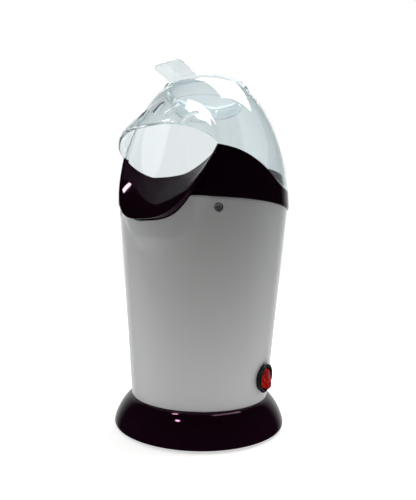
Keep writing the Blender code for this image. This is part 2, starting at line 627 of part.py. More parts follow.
# ---------------------------------------------------------------- chamber and heater
def make_chamber():
    top = DECK_Z - 2.9 * MM
    wall = 0.9 * MM
    chamber = turned("popping_chamber", [
        (CHAMBER_R + 5 * MM, top), (CHAMBER_R + 5 * MM, top - wall), (CHAMBER_R + wall, top - wall),
        (CHAMBER_R + wall, CHAMBER_FLOOR_Z), (CHAMBER_R - 8 * MM, CHAMBER_FLOOR_Z),
        (CHAMBER_R - 8 * MM, CHAMBER_FLOOR_Z + wall), (CHAMBER_R, CHAMBER_FLOOR_Z + wall),
        (CHAMBER_R, top)], ALUMINIUM, steps=48)
    slots = []
    for i in range(12):
        turn = 30 * i
        slots.append(box(f"louvre_{i}", (-0.9 * MM, -3 * MM, -6.5 * MM), (0.9 * MM, 3 * MM, 6.5 * MM),
                         at=polar(turn, CHAMBER_R + wall / 2, CHAMBER_FLOOR_Z + 12 * MM),
                         turn=(0, math.radians(-25), math.radians(turn))))
    boolean(chamber, joined("chamber_louvres", slots))
    round_off(chamber)
    rim = CHAMBER_R - 4 * MM
    floor = turned("chamber_floor", [
        (0, 118 * MM), (12 * MM, 115.5 * MM), (rim - 5 * MM, 110.6 * MM), (rim, 110.6 * MM),
        (rim, 109.6 * MM), (rim - 5 * MM, 109.6 * MM), (12 * MM, 114.4 * MM), (0, 116.8 * MM)],
        ALUMINIUM, steps=32, closed=False)
    round_off(floor)
    shield = turned("heat_shield", [
        (49.4 * MM, top - wall - GAP), (49.4 * MM, 76 * MM), (48.6 * MM, 76 * MM),
        (48.6 * MM, top - wall - GAP)], STEEL, steps=40)
    round_off(shield)

    support = box("heater_support", (-40 * MM, -0.6 * MM, 78 * MM), (40 * MM, 0.6 * MM, 84 * MM), MICA)
    boolean(support, box("heater_cross", (-0.6 * MM, -40 * MM, 78.5 * MM), (0.6 * MM, 40 * MM, 83.5 * MM)),
            "UNION")
    turns, per_turn = 14, 8
    coil = []
    for i in range(turns * per_turn + 1):
        around = 2 * math.pi * 0.96 * i / (turns * per_turn)
        loop = 2 * math.pi * i / per_turn
        reach = 27 * MM + 5 * MM * math.cos(loop)
        coil.append((reach * math.cos(around), reach * math.sin(around), 90.8 * MM + 5 * MM * math.sin(loop)))
    curve = bpy.data.curves.new("heating_coil", "CURVE")
    curve.dimensions = "3D"
    curve.bevel_depth = 0.7 * MM
    curve.bevel_resolution = 0
    curve.use_fill_caps = True
    spline = curve.splines.new("POLY")
    spline.points.add(len(coil) - 1)
    for point, place in zip(spline.points, coil):
        point.co = (*place, 1.0)
    add("heating_coil", curve, NICHROME)

    box("thermostat", (-8 * MM, 49.8 * MM, 112 * MM), (8 * MM, 55.5 * MM, 126 * MM), CERAMIC,
        bevel=1.0 * MM)
    rod("thermal_fuse", (-7 * MM, 52.2 * MM, 134 * MM), (7 * MM, 52.2 * MM, 134 * MM), 2.0 * MM,
        STEEL, steps=12)


# ---------------------------------------------------------------- fan and motor
def make_fan():
    housing = turned("fan_housing", [
        (46 * MM, 75.6 * MM), (46 * MM, 53.4 * MM), (19 * MM, 53.4 * MM), (19 * MM, 55.0 * MM),
        (44 * MM, 55.0 * MM), (44 * MM, 75.6 * MM)], FAN_GREY, steps=40)
    legs = [rod(f"leg_{turn}", polar(turn, LEG_R, 32.1 * MM), polar(turn, LEG_R, 54.2 * MM),
                3.5 * MM, steps=12) for turn in POST_DEGREES]
    boolean(housing, joined("fan_legs", legs), "UNION")
    round_off(housing)

    hub_low, hub_top = 56 * MM, 70 * MM
    impeller = turned("impeller", [
        (8 * MM, hub_top), (8 * MM, hub_low + 1.6 * MM), (38 * MM, hub_low + 1.6 * MM),
        (38 * MM, hub_low), (1.8 * MM, hub_low), (1.8 * MM, hub_top)], FAN_GREY, steps=36)
    blades = []
    for i in range(10):
        turn = math.radians(36 * i)
        blades.append(box(f"blade_{i}", (-0.7 * MM, -37 * MM, hub_low + 1 * MM),
                          (0.7 * MM, -6.8 * MM, hub_top - 2 * MM), turn=(0, 0, turn)))
    boolean(impeller, joined("impeller_blades", blades), "UNION")
    turned("motor_shaft", [(0, 73 * MM), (1.5 * MM, 73 * MM), (1.5 * MM, 46 * MM), (0, 46 * MM)],
           STEEL, steps=14, closed=False)
    can = turned("motor_can", [
        (0, 44 * MM), (1.9 * MM, 44 * MM), (1.9 * MM, 51.5 * MM), (14 * MM, 51.5 * MM),
        (15 * MM, 50.5 * MM), (15 * MM, 22 * MM), (0, 22 * MM)], STEEL, steps=28, closed=False)
    round_off(can)

    bracket = turned("motor_bracket", [
        (19 * MM, 32 * MM), (19 * MM, 30 * MM), (15.4 * MM, 30 * MM), (15.4 * MM, 32 * MM)],
        STEEL, steps=28)
    arms = [box(f"arm_{turn}", (-4 * MM, -49 * MM, 30.2 * MM), (4 * MM, -17 * MM, 31.8 * MM),
                turn=(0, 0, math.radians(turn))) for turn in POST_DEGREES]
    boolean(bracket, joined("bracket_arms", arms), "UNION")
    screw_at = [polar(turn, POST_R) for turn in POST_DEGREES]
    holes = [rod(f"bracket_hole_{i}", at + Vector((0, 0, 26 * MM)), at + Vector((0, 0, 35 * MM)),
                 1.8 * MM, steps=12) for i, at in enumerate(screw_at)]
    boolean(bracket, joined("bracket_holes", holes))
    posts = [rod(f"post_bore_{i}", at + Vector((0, 0, 20 * MM)), at + Vector((0, 0, 35 * MM)),
                 1.8 * MM, steps=12) for i, at in enumerate(screw_at)]
    boolean(bpy.data.objects["base_plate"], joined("post_bores", posts))
    for i, at in enumerate(screw_at):
        turned(f"motor_screw_{i + 1}", [
            (0, 33.6 * MM), (3 * MM, 33.6 * MM), (3 * MM, 32.3 * MM), (1.4 * MM, 32.3 * MM),
            (1.4 * MM, 22 * MM), (0, 22 * MM)], STEEL, steps=12, closed=False, at=at)


# ---------------------------------------------------------------- electrics
def make_electrics():
    board = box("rectifier_board", (-12 * MM, -9 * MM, 13 * MM), (12 * MM, 9 * MM, 14.6 * MM), BOARD)
    diodes = [box(f"diode_{i}", (x - 3 * MM, y - 1.4 * MM, 14 * MM), (x + 3 * MM, y + 1.4 * MM, 17.4 * MM))
              for i, (x, y) in enumerate(((-6 * MM, -4.5 * MM), (6 * MM, -4.5 * MM),
                                          (-6 * MM, 4.5 * MM), (6 * MM, 4.5 * MM)))]
    boolean(board, joined("board_diodes", diodes), "UNION")
    box("terminal_block", (-11 * MM, 36 * MM, 7 * MM), (11 * MM, 47 * MM, 17 * MM), CERAMIC,
        bevel=1.0 * MM)
    wire("wire_supply", [(0, 60 * MM, GLAND_Z), (0, 53 * MM, GLAND_Z), (0, 47.4 * MM, 12.5 * MM)],
         1.4 * MM, BLACK)
    wire("wire_switch", [(11.5 * MM, 41 * MM, 12 * MM), (22 * MM, 36 * MM, 13 * MM),
                         (30 * MM, 20 * MM, 18 * MM), (33 * MM, 8 * MM, 26 * MM),
                         (40 * MM, 1 * MM, 32 * MM), (43 * MM, 0, 36 * MM)],
         1.2 * MM, WIRE_WHITE)
    wire("wire_heater", [(-11.5 * MM, 41 * MM, 13 * MM), (-24 * MM, 42 * MM, 16 * MM),
                         (-28 * MM, 42.4 * MM, 24 * MM), (-28.2 * MM, 42.8 * MM, 30 * MM),
                         (-28.5 * MM, 45 * MM, 44 * MM), (-22 * MM, 49.8 * MM, 82 * MM),
                         (-14 * MM, 53.6 * MM, 112 * MM), (-8.6 * MM, 53.4 * MM, 118 * MM)],
         1.2 * MM, WIRE_WHITE)
    wire("wire_motor", [(-4 * MM, 35.6 * MM, 12 * MM), (-6 * MM, 24 * MM, 9.5 * MM),
                        (-5 * MM, 14 * MM, 12 * MM), (-4 * MM, 9.5 * MM, 13.8 * MM)],
         1.0 * MM, WIRE_WHITE)


make_base()
make_housing()
make_collar()
make_cover()
make_cup()
make_switch()
make_chamber()
make_fan()
make_electrics()
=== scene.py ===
"""Looks of the hot-air popcorn maker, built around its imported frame.

Lengths in the classes are millimetres about the body's own axis, +Z up and the chute
towards -Y. Meshes are written in metres in the frame's place. Heights count from the table.
"""

import logging
import math
from dataclasses import dataclass, field
from enum import Enum

import bmesh
import bpy
import numpy as np
from mathutils import Euler, Matrix, Vector


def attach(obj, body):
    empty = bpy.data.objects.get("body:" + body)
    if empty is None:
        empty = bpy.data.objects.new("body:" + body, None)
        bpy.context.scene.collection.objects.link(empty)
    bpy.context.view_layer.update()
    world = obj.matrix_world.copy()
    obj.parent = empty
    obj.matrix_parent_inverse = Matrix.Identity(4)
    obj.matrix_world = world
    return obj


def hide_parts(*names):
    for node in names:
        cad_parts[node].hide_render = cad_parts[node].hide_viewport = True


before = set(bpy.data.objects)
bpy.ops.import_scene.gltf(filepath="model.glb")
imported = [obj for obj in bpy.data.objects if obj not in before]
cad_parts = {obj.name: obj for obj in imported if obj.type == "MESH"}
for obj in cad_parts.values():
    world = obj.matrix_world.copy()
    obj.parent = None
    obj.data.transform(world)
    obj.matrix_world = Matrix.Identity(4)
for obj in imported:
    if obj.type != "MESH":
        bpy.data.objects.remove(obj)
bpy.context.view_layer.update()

MM = 0.001
AXIS_Y = 3.5            # the body's axis in the frame
TO_ORIGIN = Matrix.Translation((0, -AXIS_Y * MM, 0))
LOG = logging.getLogger("popcorn_maker")
Color = tuple[float, float, float]
Point = tuple[float, float, float]


class Body(Enum):
    """The frame's moving bodies."""

    ROOT = "root"
    ROCKER = "rocker"
    FAN = "fan"
    COVER = "cover"
    CUP = "cup"


class Join(Enum):
    """What a Boolean does with its tool."""

    ADD = "UNION"
    CUT = "DIFFERENCE"


class VentPart(Enum):
    """What the row of vents is made as."""

    BEADS = "vent_beads"
    CUTTERS = "vent_cutters"


class Grain(Enum):
    """The direction in which a metal was worked."""

    SPUN = "rings about the axis"
    CAST = "no direction"


# ---------------------------------------------------------------- node graphs
class Signal:
    """One node's output, which takes part in arithmetic."""

    def __init__(self, graph: "Graph", socket: bpy.types.NodeSocket) -> None:
        """Keep the graph and the socket."""
        self.graph = graph
        self.socket = socket

    def _math(self, operation: str, first: object, second: object) -> "Signal":
        """A Math node on two values."""
        return self.graph.node("ShaderNodeMath", {"operation": operation}, {0: first, 1: second})

    def __add__(self, other: object) -> "Signal":
        """self + other."""
        return self._math("ADD", self, other)

    def __radd__(self, other: object) -> "Signal":
        """other + self."""
        return self._math("ADD", other, self)

    def __sub__(self, other: object) -> "Signal":
        """self - other."""
        return self._math("SUBTRACT", self, other)

    def __rsub__(self, other: object) -> "Signal":
        """other - self."""
        return self._math("SUBTRACT", other, self)

    def __mul__(self, other: object) -> "Signal":
        """self * other."""
        return self._math("MULTIPLY", self, other)

    def __rmul__(self, other: object) -> "Signal":
        """other * self."""
        return self._math("MULTIPLY", other, self)

    def __pow__(self, other: object) -> "Signal":
        """self ** other."""
        return self._math("POWER", self, other)

    def at_most(self, other: object) -> "Signal":
        """The smaller of two values."""
        return self._math("MINIMUM", self, other)

    def at_least(self, other: object) -> "Signal":
        """The larger of two values."""
        return self._math("MAXIMUM", self, other)

    def spread(self, low: float, high: float) -> "Signal":
        """This signal's 0 to 1 laid between two numbers."""
        return self * (high - low) + low


class Graph:
    """A node tree under construction."""

    def __init__(self, tree: bpy.types.NodeTree) -> None:
        """Keep the tree."""
        self.tree = tree

    def node(self, kind: str, settings: dict | None = None, sockets: dict | None = None,
             out: int | str = 0) -> Signal:
        """Add a node.

        Args:
            kind: The node's type name.
            settings: Its properties, set first; "stops" lists a ramp's (place, colour) pairs.
            sockets: Values or signals by the input's name or number.
            out: The output to return.

        Returns:
            The chosen output.
        """
        made = self.tree.nodes.new(kind)
        for name, value in (settings or {}).items():
            if name == "stops":
                self._set_stops(made.color_ramp, value)
            else:
                setattr(made, name, value)
        for key, value in (sockets or {}).items():
            self.feed(made.inputs[key], value)
        return Signal(self, made.outputs[out])

    def feed(self, socket: bpy.types.NodeSocket, value: object) -> None:
        """Link a signal to an input, or set the input's own value.

        Args:
            socket: The input.
            value: The signal or value.
        """
        if isinstance(value, Signal):
            self.tree.links.new(value.socket, socket)
        else:
            socket.default_value = value

    @staticmethod
    def _set_stops(ramp: bpy.types.ColorRamp, stops: list[tuple[float, Color]]) -> None:
        """Give a ramp its stops.

        Args:
            ramp: The ramp.
            stops: Its (place, colour) pairs in order.
        """
        while len(ramp.elements) < len(stops):
            ramp.elements.new(1.0)
        for element, (place, color) in zip(ramp.elements, stops):
            element.position = place
            element.color = (*color, 1.0)

    def place(self) -> Signal:
        """Object coordinates."""
        return self.node("ShaderNodeTexCoord", out="Object")

    def noise(self, scale: float, detail: float = 2.0, place: Signal | None = None) -> Signal:
        """Noise from 0 to 1 at a number of cells to the metre."""
        return self.node("ShaderNodeTexNoise", {"noise_dimensions": "3D"},
                         {"Vector": place or self.place(), "Scale": scale, "Detail": detail})

    def blend(self, factor: object, first: object, second: object) -> Signal:
        """A colour between two, by the factor."""
        return self.node("ShaderNodeMix", {"data_type": "RGBA"},
                         {0: factor, 6: self.opaque(first), 7: self.opaque(second)}, out=2)

    @staticmethod
    def opaque(color: object) -> object:
        """A colour with its alpha, or a signal as it is."""
        return color if isinstance(color, Signal) else (*color, 1.0)

    def vector(self, x: object = 0.0, y: object = 0.0, z: object = 0.0) -> Signal:
        """A vector from its parts."""
        return self.node("ShaderNodeCombineXYZ", {}, {0: x, 1: y, 2: z})

    def eased(self, value: Signal, start: tuple[float, float],
              end: tuple[float, float]) -> Signal:
        """A value eased from one level to another.

        Args:
            value: What the result follows.
            start: The value at which the easing starts, and the result up to there.
            end: The value at which it ends, and the result from there on.

        Returns:
            The eased result.
        """
        return self.node("ShaderNodeMapRange", {"interpolation_type": "SMOOTHSTEP"}, {
            "Value": value, "From Min": start[0], "From Max": end[0],
            "To Min": start[1], "To Max": end[1]})

    def bump(self, height: Signal, distance: float, strength: float = 1.0) -> Signal:
        """A normal from a height, in metres at full strength."""
        return self.node("ShaderNodeBump", {},
                         {"Height": height, "Distance": distance, "Strength": strength})


class Paint(Graph):
    """A material's node tree about its Principled shader."""

    def __init__(self, name: str) -> None:
        """Make the material.

        Args:
            name: The material's name.
        """
        self.material = bpy.data.materials.new(name)
        self.material.use_nodes = True
        super().__init__(self.material.node_tree)

    def dress(self, sockets: dict[str, object]) -> bpy.types.Material:
        """Feed the shader.

        Args:
            sockets: Values or signals by the socket's name.

        Returns:
            The material.
        """
        shader = self.tree.nodes["Principled BSDF"]
        for name, value in sockets.items():
            self.feed(shader.inputs[name], value)
        return self.material


class FormTree(Graph):
    """A Geometry Nodes tree with named inputs and one dressed result."""

    def __init__(self, name: str, inputs: tuple[tuple[str, str], ...]) -> None:
        """Make the tree.

        Args:
            name: The tree's name.
            inputs: Each input's name and kind, such as ("Count", "Int").
        """
        super().__init__(bpy.data.node_groups.new(name, "GeometryNodeTree"))
        sockets = self.tree.interface
        for title, kind in inputs:
            sockets.new_socket(title, in_out="INPUT", socket_type=f"NodeSocket{kind}")
        sockets.new_socket("Result", in_out="OUTPUT", socket_type="NodeSocketGeometry")
        given = self.tree.nodes.new("NodeGroupInput")
        self.value = {title: Signal(self, given.outputs[title]) for title, _ in inputs}

    def held(self, source: Signal) -> Signal:
        """The geometry of the object at an input, in its own place."""
        return self.node("GeometryNodeObjectInfo", {"transform_space": "ORIGINAL"},
                         {"Object": source}, out="Geometry")

    def points(self, spot: Signal) -> Signal:
        """As many points as the Count input says, each at its spot."""
        line = self.node("GeometryNodeMeshLine", {}, {"Count": self.value["Count"]})
        return self.node("GeometryNodeSetPosition", {}, {"Geometry": line, "Position": spot})

    def copies(self, points: Signal, form: Signal, angles: Signal) -> Signal:
        """A copy of a form on each point, turned by its Euler angles.

        Args:
            points: The points.
            form: What is copied.
            angles: Its turn on each point.

        Returns:
            The copies.
        """
        turn = self.node("FunctionNodeEulerToRotation", {}, {"Euler": angles})
        return self.node("GeometryNodeInstanceOnPoints", {}, {
            "Points": points, "Instance": form, "Rotation": turn})

    def realised(self, geometry: Signal) -> Signal:
        """The copies made real geometry."""
        return self.node("GeometryNodeRealizeInstances", {}, {"Geometry": geometry})

    def close(self, geometry: Signal) -> bpy.types.NodeTree:
        """End the tree with a geometry.

        Args:
            geometry: What the tree makes, which is realised and given the Finish input.

        Returns:
            The tree.
        """
        dressed = self.node("GeometryNodeSetMaterial", {}, {
            "Geometry": self.realised(geometry), "Material": self.value["Finish"]})
        self.feed(self.tree.nodes.new("NodeGroupOutput").inputs[0], dressed)
        return self.tree


# ---------------------------------------------------------------- finishes
@dataclass(frozen=True)
class GlossPlastic:
    """Injection-moulded plastic with a polished skin."""

    name: str
    color: Color
    shade: Color
    roughness: float = 0.07
    ripple: float = 0.00002
    coat: float = 0.0
    specular: float = 0.5
    hue: Color = (1.0, 1.0, 1.0)

    def material(self) -> bpy.types.Material:
        """Slow flow marks in the colour, faint haze in the gloss and a barely wavy skin.

        Returns:
            The material.
        """
        paint = Paint(self.name)
        flow, haze = paint.noise(14.0, 3.0), paint.noise(70.0, 4.0)
        return paint.dress({
            "Base Color": paint.blend(flow, self.color, self.shade),
            "Roughness": haze.spread(self.roughness * 0.8, self.roughness * 1.3),
            "Normal": paint.bump(paint.noise(55.0, 1.0), self.ripple),
            "Coat Weight": self.coat, "Coat Roughness": 0.03,
            "Specular IOR Level": self.specular, "Specular Tint": (*self.hue, 1.0)})


@dataclass(frozen=True)
class ClearPlastic:
    """Clear moulded plastic, a little blue-green where it is seen edge on."""

    name: str
    tint: Color
    edge_tint: Color
    roughness: float = 0.012
    ripple: float = 0.00003
    clearness: float = 0.93
    bending: float = 1.085
    polish: float = 1.0

    def material(self) -> bpy.types.Material:
        """Refracting plastic whose tint deepens with the way through the wall.

        Returns:
            The material.
        """
        paint = Paint(self.name)
        edge = paint.node("ShaderNodeLayerWeight", {}, {"Blend": 0.45}, out="Facing") ** 1.6
        flow, haze = paint.noise(18.0, 2.0), paint.noise(90.0, 4.0)
        tint = paint.blend(edge, self.tint, self.edge_tint)
        return paint.dress({
            "Base Color": paint.blend(flow * 0.12, tint, self.edge_tint),
            "Roughness": haze.spread(self.roughness * 0.6, self.roughness * 1.6),
            "Normal": paint.bump(paint.noise(26.0, 2.0), self.ripple),
            "Transmission Weight": self.clearness, "IOR": self.bending,
            "Coat Weight": self.polish, "Coat Roughness": 0.02})


@dataclass(frozen=True)
class LitLens:
    """Translucent plastic over a small glow lamp."""

    name: str
    color: Color
    # the orange at the top of the emission ramp: painted glints standing in for highlights on the
    # facets
    glow: Color
    strength: float = 1.0

    def material(self) -> bpy.types.Material:
        """Red lens with the lamp's red glow, and orange glints painted into that glow as noise
        stripes.

        Returns:
            The material.
        """
        paint = Paint(self.name)
        # painted glints: the noise lays orange stripes into the emission over the lamp's red glow,
        # in place of real facet highlights
        streaks = paint.noise(420.0, 3.0)
        lamp_glow_and_painted_glints = paint.node("ShaderNodeValToRGB", {"stops": [
            (0.42, (0.10, 0.0, 0.0)), (0.58, (0.55, 0.01, 0.01)), (0.72, self.glow)]},
            {"Fac": streaks})
        dim = tuple(0.4 * part for part in self.color)
        return paint.dress({
            "Base Color": paint.blend(streaks, self.color, dim),
            "Roughness": paint.noise(300.0).spread(0.06, 0.16),
            "Emission Color": lamp_glow_and_painted_glints, "Emission Strength": self.strength,
            "Transmission Weight": 0.35})


@dataclass(frozen=True)
class Metal:
    """Bare metal, spun or cast."""

    name: str
    color: Color
    roughness: float
    grain: Grain = Grain.CAST
    bareness: float = 1.0

    def material(self) -> bpy.types.Material:
        """Fine tool marks or a cast skin, with a duller film in patches.

        Returns:
            The material.
        """
        paint = Paint(self.name)
        if self.grain is Grain.SPUN:
            split = paint.node("ShaderNodeSeparateXYZ", {}, {0: paint.place()}).socket.node
            x, y, z = (Signal(paint, part) for part in split.outputs)
            across = y - AXIS_Y * MM
            radius = (x * x + across * across) ** 0.5
            marks = paint.noise(60.0, 2.0, paint.vector(radius * 60.0, z * 60.0))
        else:
            marks = paint.noise(900.0, 2.0)
        dull = tuple(0.72 * part for part in self.color)
        return paint.dress({
            "Base Color": paint.blend(paint.noise(45.0, 4.0), self.color, dull),
            "Roughness": marks.spread(self.roughness * 0.7, self.roughness * 1.5),
            "Normal": paint.bump(marks, 0.00002, 0.5), "Metallic": self.bareness})


@dataclass(frozen=True)
class DullSolid:
    """Textured plastic, rubber, mica, ceramic, fibre board or wire insulation."""

    name: str
    color: Color
    second: Color
    roughness: float
    cells: float = 500.0
    depth: float = 0.00004

    def material(self) -> bpy.types.Material:
        """A speckle between two colours with a matching fine relief.

        Returns:
            The material.
        """
        paint = Paint(self.name)
        speckle = paint.noise(self.cells, 3.0)
        sharp = paint.node("ShaderNodeValToRGB",
                           {"stops": [(0.40, (0, 0, 0)), (0.62, (1, 1, 1))]}, {"Fac": speckle})
        return paint.dress({
            "Base Color": paint.blend(sharp, self.color, self.second),
            "Roughness": speckle.spread(self.roughness * 0.85, min(1.0, self.roughness * 1.2)),
            "Normal": paint.bump(speckle, self.depth)})


FINISHES = {
    "white_plastic": GlossPlastic("white_gloss", (0.74, 0.745, 0.75), (0.70, 0.705, 0.71), 0.10),
    "plum_plastic": GlossPlastic("plum_black_gloss", (0.0115, 0.0024, 0.0083),
                                 (0.0072, 0.0018, 0.0055), 0.05, specular=0.3,
                                 hue=(1.0, 0.42, 0.76)),
    "clear_plastic": ClearPlastic("clear_plastic", (0.905, 0.955, 0.97), (0.83, 0.895, 0.915)),
    # the rocker's orange second colour is its painted glints, laid into the emission
    "red_plastic": LitLens("red_rocker", (0.32, 0.006, 0.008), (1.0, 0.16, 0.03), 0.36),
    "black_plastic": GlossPlastic("black_plastic", (0.012, 0.012, 0.013), (0.02, 0.02, 0.021),
                                  0.22, 0.00004, specular=0.3),
    "foot_rubber": DullSolid("foot_rubber", (0.025, 0.025, 0.026), (0.05, 0.05, 0.05), 0.8),
    "zinc_steel": Metal("zinc_steel", (0.74, 0.74, 0.75), 0.26, bareness=0.8),
    "spun_aluminium": Metal("spun_aluminium", (0.80, 0.80, 0.81), 0.26, Grain.SPUN),
    "mica_board": DullSolid("mica_board", (0.62, 0.54, 0.40), (0.42, 0.34, 0.22), 0.5, 260.0),
    "nichrome_wire": Metal("nichrome_wire", (0.36, 0.32, 0.29), 0.45),
    "circuit_board": DullSolid("circuit_board", (0.16, 0.30, 0.09), (0.30, 0.40, 0.16), 0.5, 700.0),
    "fan_plastic": DullSolid("fan_plastic", (0.27, 0.28, 0.29), (0.33, 0.34, 0.35), 0.5, 800.0),
    "white_ceramic": DullSolid("white_ceramic", (0.82, 0.80, 0.76), (0.72, 0.69, 0.63), 0.4, 600.0),
    "white_wire": DullSolid("wire_white", (0.76, 0.76, 0.74), (0.66, 0.66, 0.63), 0.4, 400.0),
    "black_wire": DullSolid("wire_black", (0.02, 0.02, 0.02), (0.05, 0.05, 0.05), 0.45, 400.0),
}
MADE_FINISHES: dict[str, bpy.types.Material] = {}


def finish(slot: str) -> bpy.types.Material:
    """The material of a slot, made once.

    Args:
        slot: The record's material slot.

    Returns:
        The material.
    """
    if slot not in MADE_FINISHES:
        MADE_FINISHES[slot] = FINISHES[slot].material()
    return MADE_FINISHES[slot]


# ---------------------------------------------------------------- mesh work
def polar(degrees: object, radius: object, height: object) -> np.ndarray:
    """Points by their angle from the front, positive towards +X.

    Args:
        degrees: Their angles.
        radius: Their distances from the axis.
        height: Their heights.

    Returns:
        The points, in the shape that the three inputs make together.
    """
    turn = np.radians(degrees)
    return np.stack(np.broadcast_arrays(radius * np.sin(turn), -radius * np.cos(turn),
                                        height + 0.0 * turn), axis=-1)


def stand(name: str, data: bpy.types.ID) -> bpy.types.Object:
    """Put a new object that shows the data in the scene.

    Args:
        name: Its name.
        data: Its mesh, lamp or camera.

    Returns:
        The object.
    """
    made = bpy.data.objects.new(name, data)
    bpy.context.scene.collection.objects.link(made)
    return made


def smooth_max(first: np.ndarray, second: np.ndarray, soft: float) -> np.ndarray:
    """The larger of two values with a rounded change-over."""
    return 0.5 * (first + second + np.sqrt((first - second) ** 2 + soft ** 2))


def smooth_min(first: np.ndarray, second: np.ndarray, soft: float) -> np.ndarray:
    """The smaller of two values with a rounded change-over."""
    return -smooth_max(-first, -second, soft)


def solid(name: str, points: np.ndarray, faces: list) -> bpy.types.Object:
    """A closed mesh object.

    Args:
        name: The object's name.
        points: Corners in millimetres about the body's axis.
        faces: Corner numbers of each face.

    Returns:
        The object, its doubles merged and its faces outward.
    """
    place = (np.asarray(points, float).reshape(-1, 3) + (0, AXIS_Y, 0)) * MM
    mesh = bpy.data.meshes.new(name)
    mesh.from_pydata(place.tolist(), [], faces)
    bm = bmesh.new()
    bm.from_mesh(mesh)
    bmesh.ops.remove_doubles(bm, verts=bm.verts, dist=2e-7)
    bmesh.ops.recalc_face_normals(bm, faces=bm.faces)
    bm.to_mesh(mesh)
    bm.free()
    return stand(name, mesh)


class Cap(Enum):
    """How a tube of rows is closed at its ends."""

    NONE = "open"
    FLAT = "one face"
    MIRRORED = "strips between each point and its mirror image"


def quilt(name: str, grid: np.ndarray, wrap_rows: bool, cap: Cap = Cap.NONE) -> bpy.types.Object:
    """A solid from a grid of points whose columns run all the way round.

    Args:
        name: The object's name.
        grid: Points by row and column, in millimetres.
        wrap_rows: Whether the last row meets the first, as on a shell with a rim.
        cap: How the first and last rows are closed.

    Returns:
        The object.
    """
    rows, columns = grid.shape[:2]
    down, across = np.meshgrid(np.arange(rows - (not wrap_rows)), np.arange(columns), indexing="ij")
    below, beside = (down + 1) % rows, (across + 1) % columns
    corners = [down * columns + across, down * columns + beside,
               below * columns + beside, below * columns + across]
    faces = np.stack(corners, axis=-1).reshape(-1, 4).tolist()
    last = (rows - 1) * columns
    if cap is Cap.FLAT:
        faces += [list(range(columns))[::-1], list(range(last, last + columns))]
    elif cap is Cap.MIRRORED:
        for k in range(columns // 2):
            strip = list(dict.fromkeys((k, k + 1, columns - 2 - k, columns - 1 - k)))
            if len(strip) > 2:
                faces += [strip[::-1], [corner + last for corner in strip]]
    return solid(name, grid.reshape(-1, 3), faces)


def turned(name: str, profile: list[tuple[float, float]], steps: int = 160,
           closed: bool = True) -> bpy.types.Object:
    """A profile of (radius, height) turned about the body's axis.

    Args:
        name: The object's name.
        profile: Points in order; a closed one is a ring, an open one starts and ends on the axis.
        steps: Columns round the axis.
        closed: Whether the last point meets the first.

    Returns:
        The object.
    """
    outline = np.array(profile, float)
    angles = np.arange(steps) * 360.0 / steps
    grid = polar(angles[None, :], outline[:, :1], outline[:, 1:])
    return quilt(name, grid, closed)


def rounded(corners: list[tuple[float, float, float]], steps: int = 5) -> list[tuple[float, float]]:
    """A profile whose corners are rounded.

    Args:
        corners: (radius, height, rounding) in order round the closed profile.
        steps: Points on each rounding.

    Returns:
        The (radius, height) points.
    """
    made = []
    count = len(corners)
    for i, (r, z, soft) in enumerate(corners):
        here = Vector((r, z))
        if soft <= 0:
            made.append((r, z))
            continue
        before = Vector(corners[i - 1][:2]) - here
        after = Vector(corners[(i + 1) % count][:2]) - here
        start = here + before.normalized() * min(soft, before.length * 0.49)
        end = here + after.normalized() * min(soft, after.length * 0.49)
        for k in range(steps):
            t = k / (steps - 1)
            point = start * (1 - t) ** 2 + here * 2 * t * (1 - t) + end * t * t
            made.append((point.x, point.y))
    return made


def loft(name: str, sections: list[np.ndarray], cap: Cap = Cap.FLAT) -> bpy.types.Object:
    """A closed body through rings of points that all have the same count."""
    return quilt(name, np.array(sections, float), False, cap)


def prism(name: str, outline: list[tuple[float, float]], half_width: float) -> bpy.types.Object:
    """A (y, z) outline drawn through from -half_width to +half_width along X."""
    return loft(name, [np.array([(x, y, z) for y, z in outline])
                       for x in (-half_width, half_width)])


def rod(name: str, start: Point, end: Point, radius: float, steps: int = 48) -> bpy.types.Object:
    """A cylinder between two points.

    Args:
        name: The object's name.
        start: The middle of one end, in millimetres about the body's axis.
        end: The middle of the other end.
        radius: Its radius in millimetres.
        steps: Its sides.

    Returns:
        The object.
    """
    first, last = Vector(start), Vector(end)
    turn = (last - first).to_track_quat("Z", "Y").to_matrix()
    ring = [turn @ Vector((radius * math.cos(a), radius * math.sin(a), 0))
            for a in np.arange(steps) * math.tau / steps]
    return loft(name, [np.array([first + p for p in ring]), np.array([last + p for p in ring])])


def radial_rod(name: str, degrees: float, ends: tuple[float, float], height: float,
               radius: float, steps: int = 48) -> bpy.types.Object:
    """A level cylinder that points away from the body's axis.

    Args:
        name: The object's name.
        degrees: Its direction, as an angle from the front.
        ends: How far its ends are from the axis, in millimetres.
        height: Its height in millimetres.
        radius: Its radius in millimetres.
        steps: Its sides.

    Returns:
        The object.
    """
    start, end = polar(np.array([degrees] * 2), np.array(ends), height)
    return rod(name, start, end, radius, steps)


def settle(piece: bpy.types.Object) -> None:
    """Make a piece's evaluated shape its plain mesh.

    Args:
        piece: The object, which loses its modifiers.
    """
    graph = bpy.context.evaluated_depsgraph_get()
    made = bpy.data.meshes.new_from_object(piece.evaluated_get(graph))
    old = piece.data
    piece.modifiers.clear()
    piece.data = made
    made.name = piece.name
    bpy.data.meshes.remove(old)


def combine(target: bpy.types.Object, tool: bpy.types.Object, how: Join) -> None:
    """Join a tool to a piece or cut it away.

    Args:
        target: The piece.
        tool: The other object, which is removed.
        how: Whether the tool is added or cut away.
    """
    step = target.modifiers.new("combine", "BOOLEAN")
    step.operation = how.value
    step.solver = "MANIFOLD"
    step.object = tool
    settle(target)
    bpy.data.objects.remove(tool, do_unlink=True)


def soften(piece: bpy.types.Object, degrees: float = 32.0) -> None:
    """Shade smoothly up to an angle between faces."""
    piece.data.shade_smooth()
    piece.data.set_sharp_from_angle(angle=math.radians(degrees))


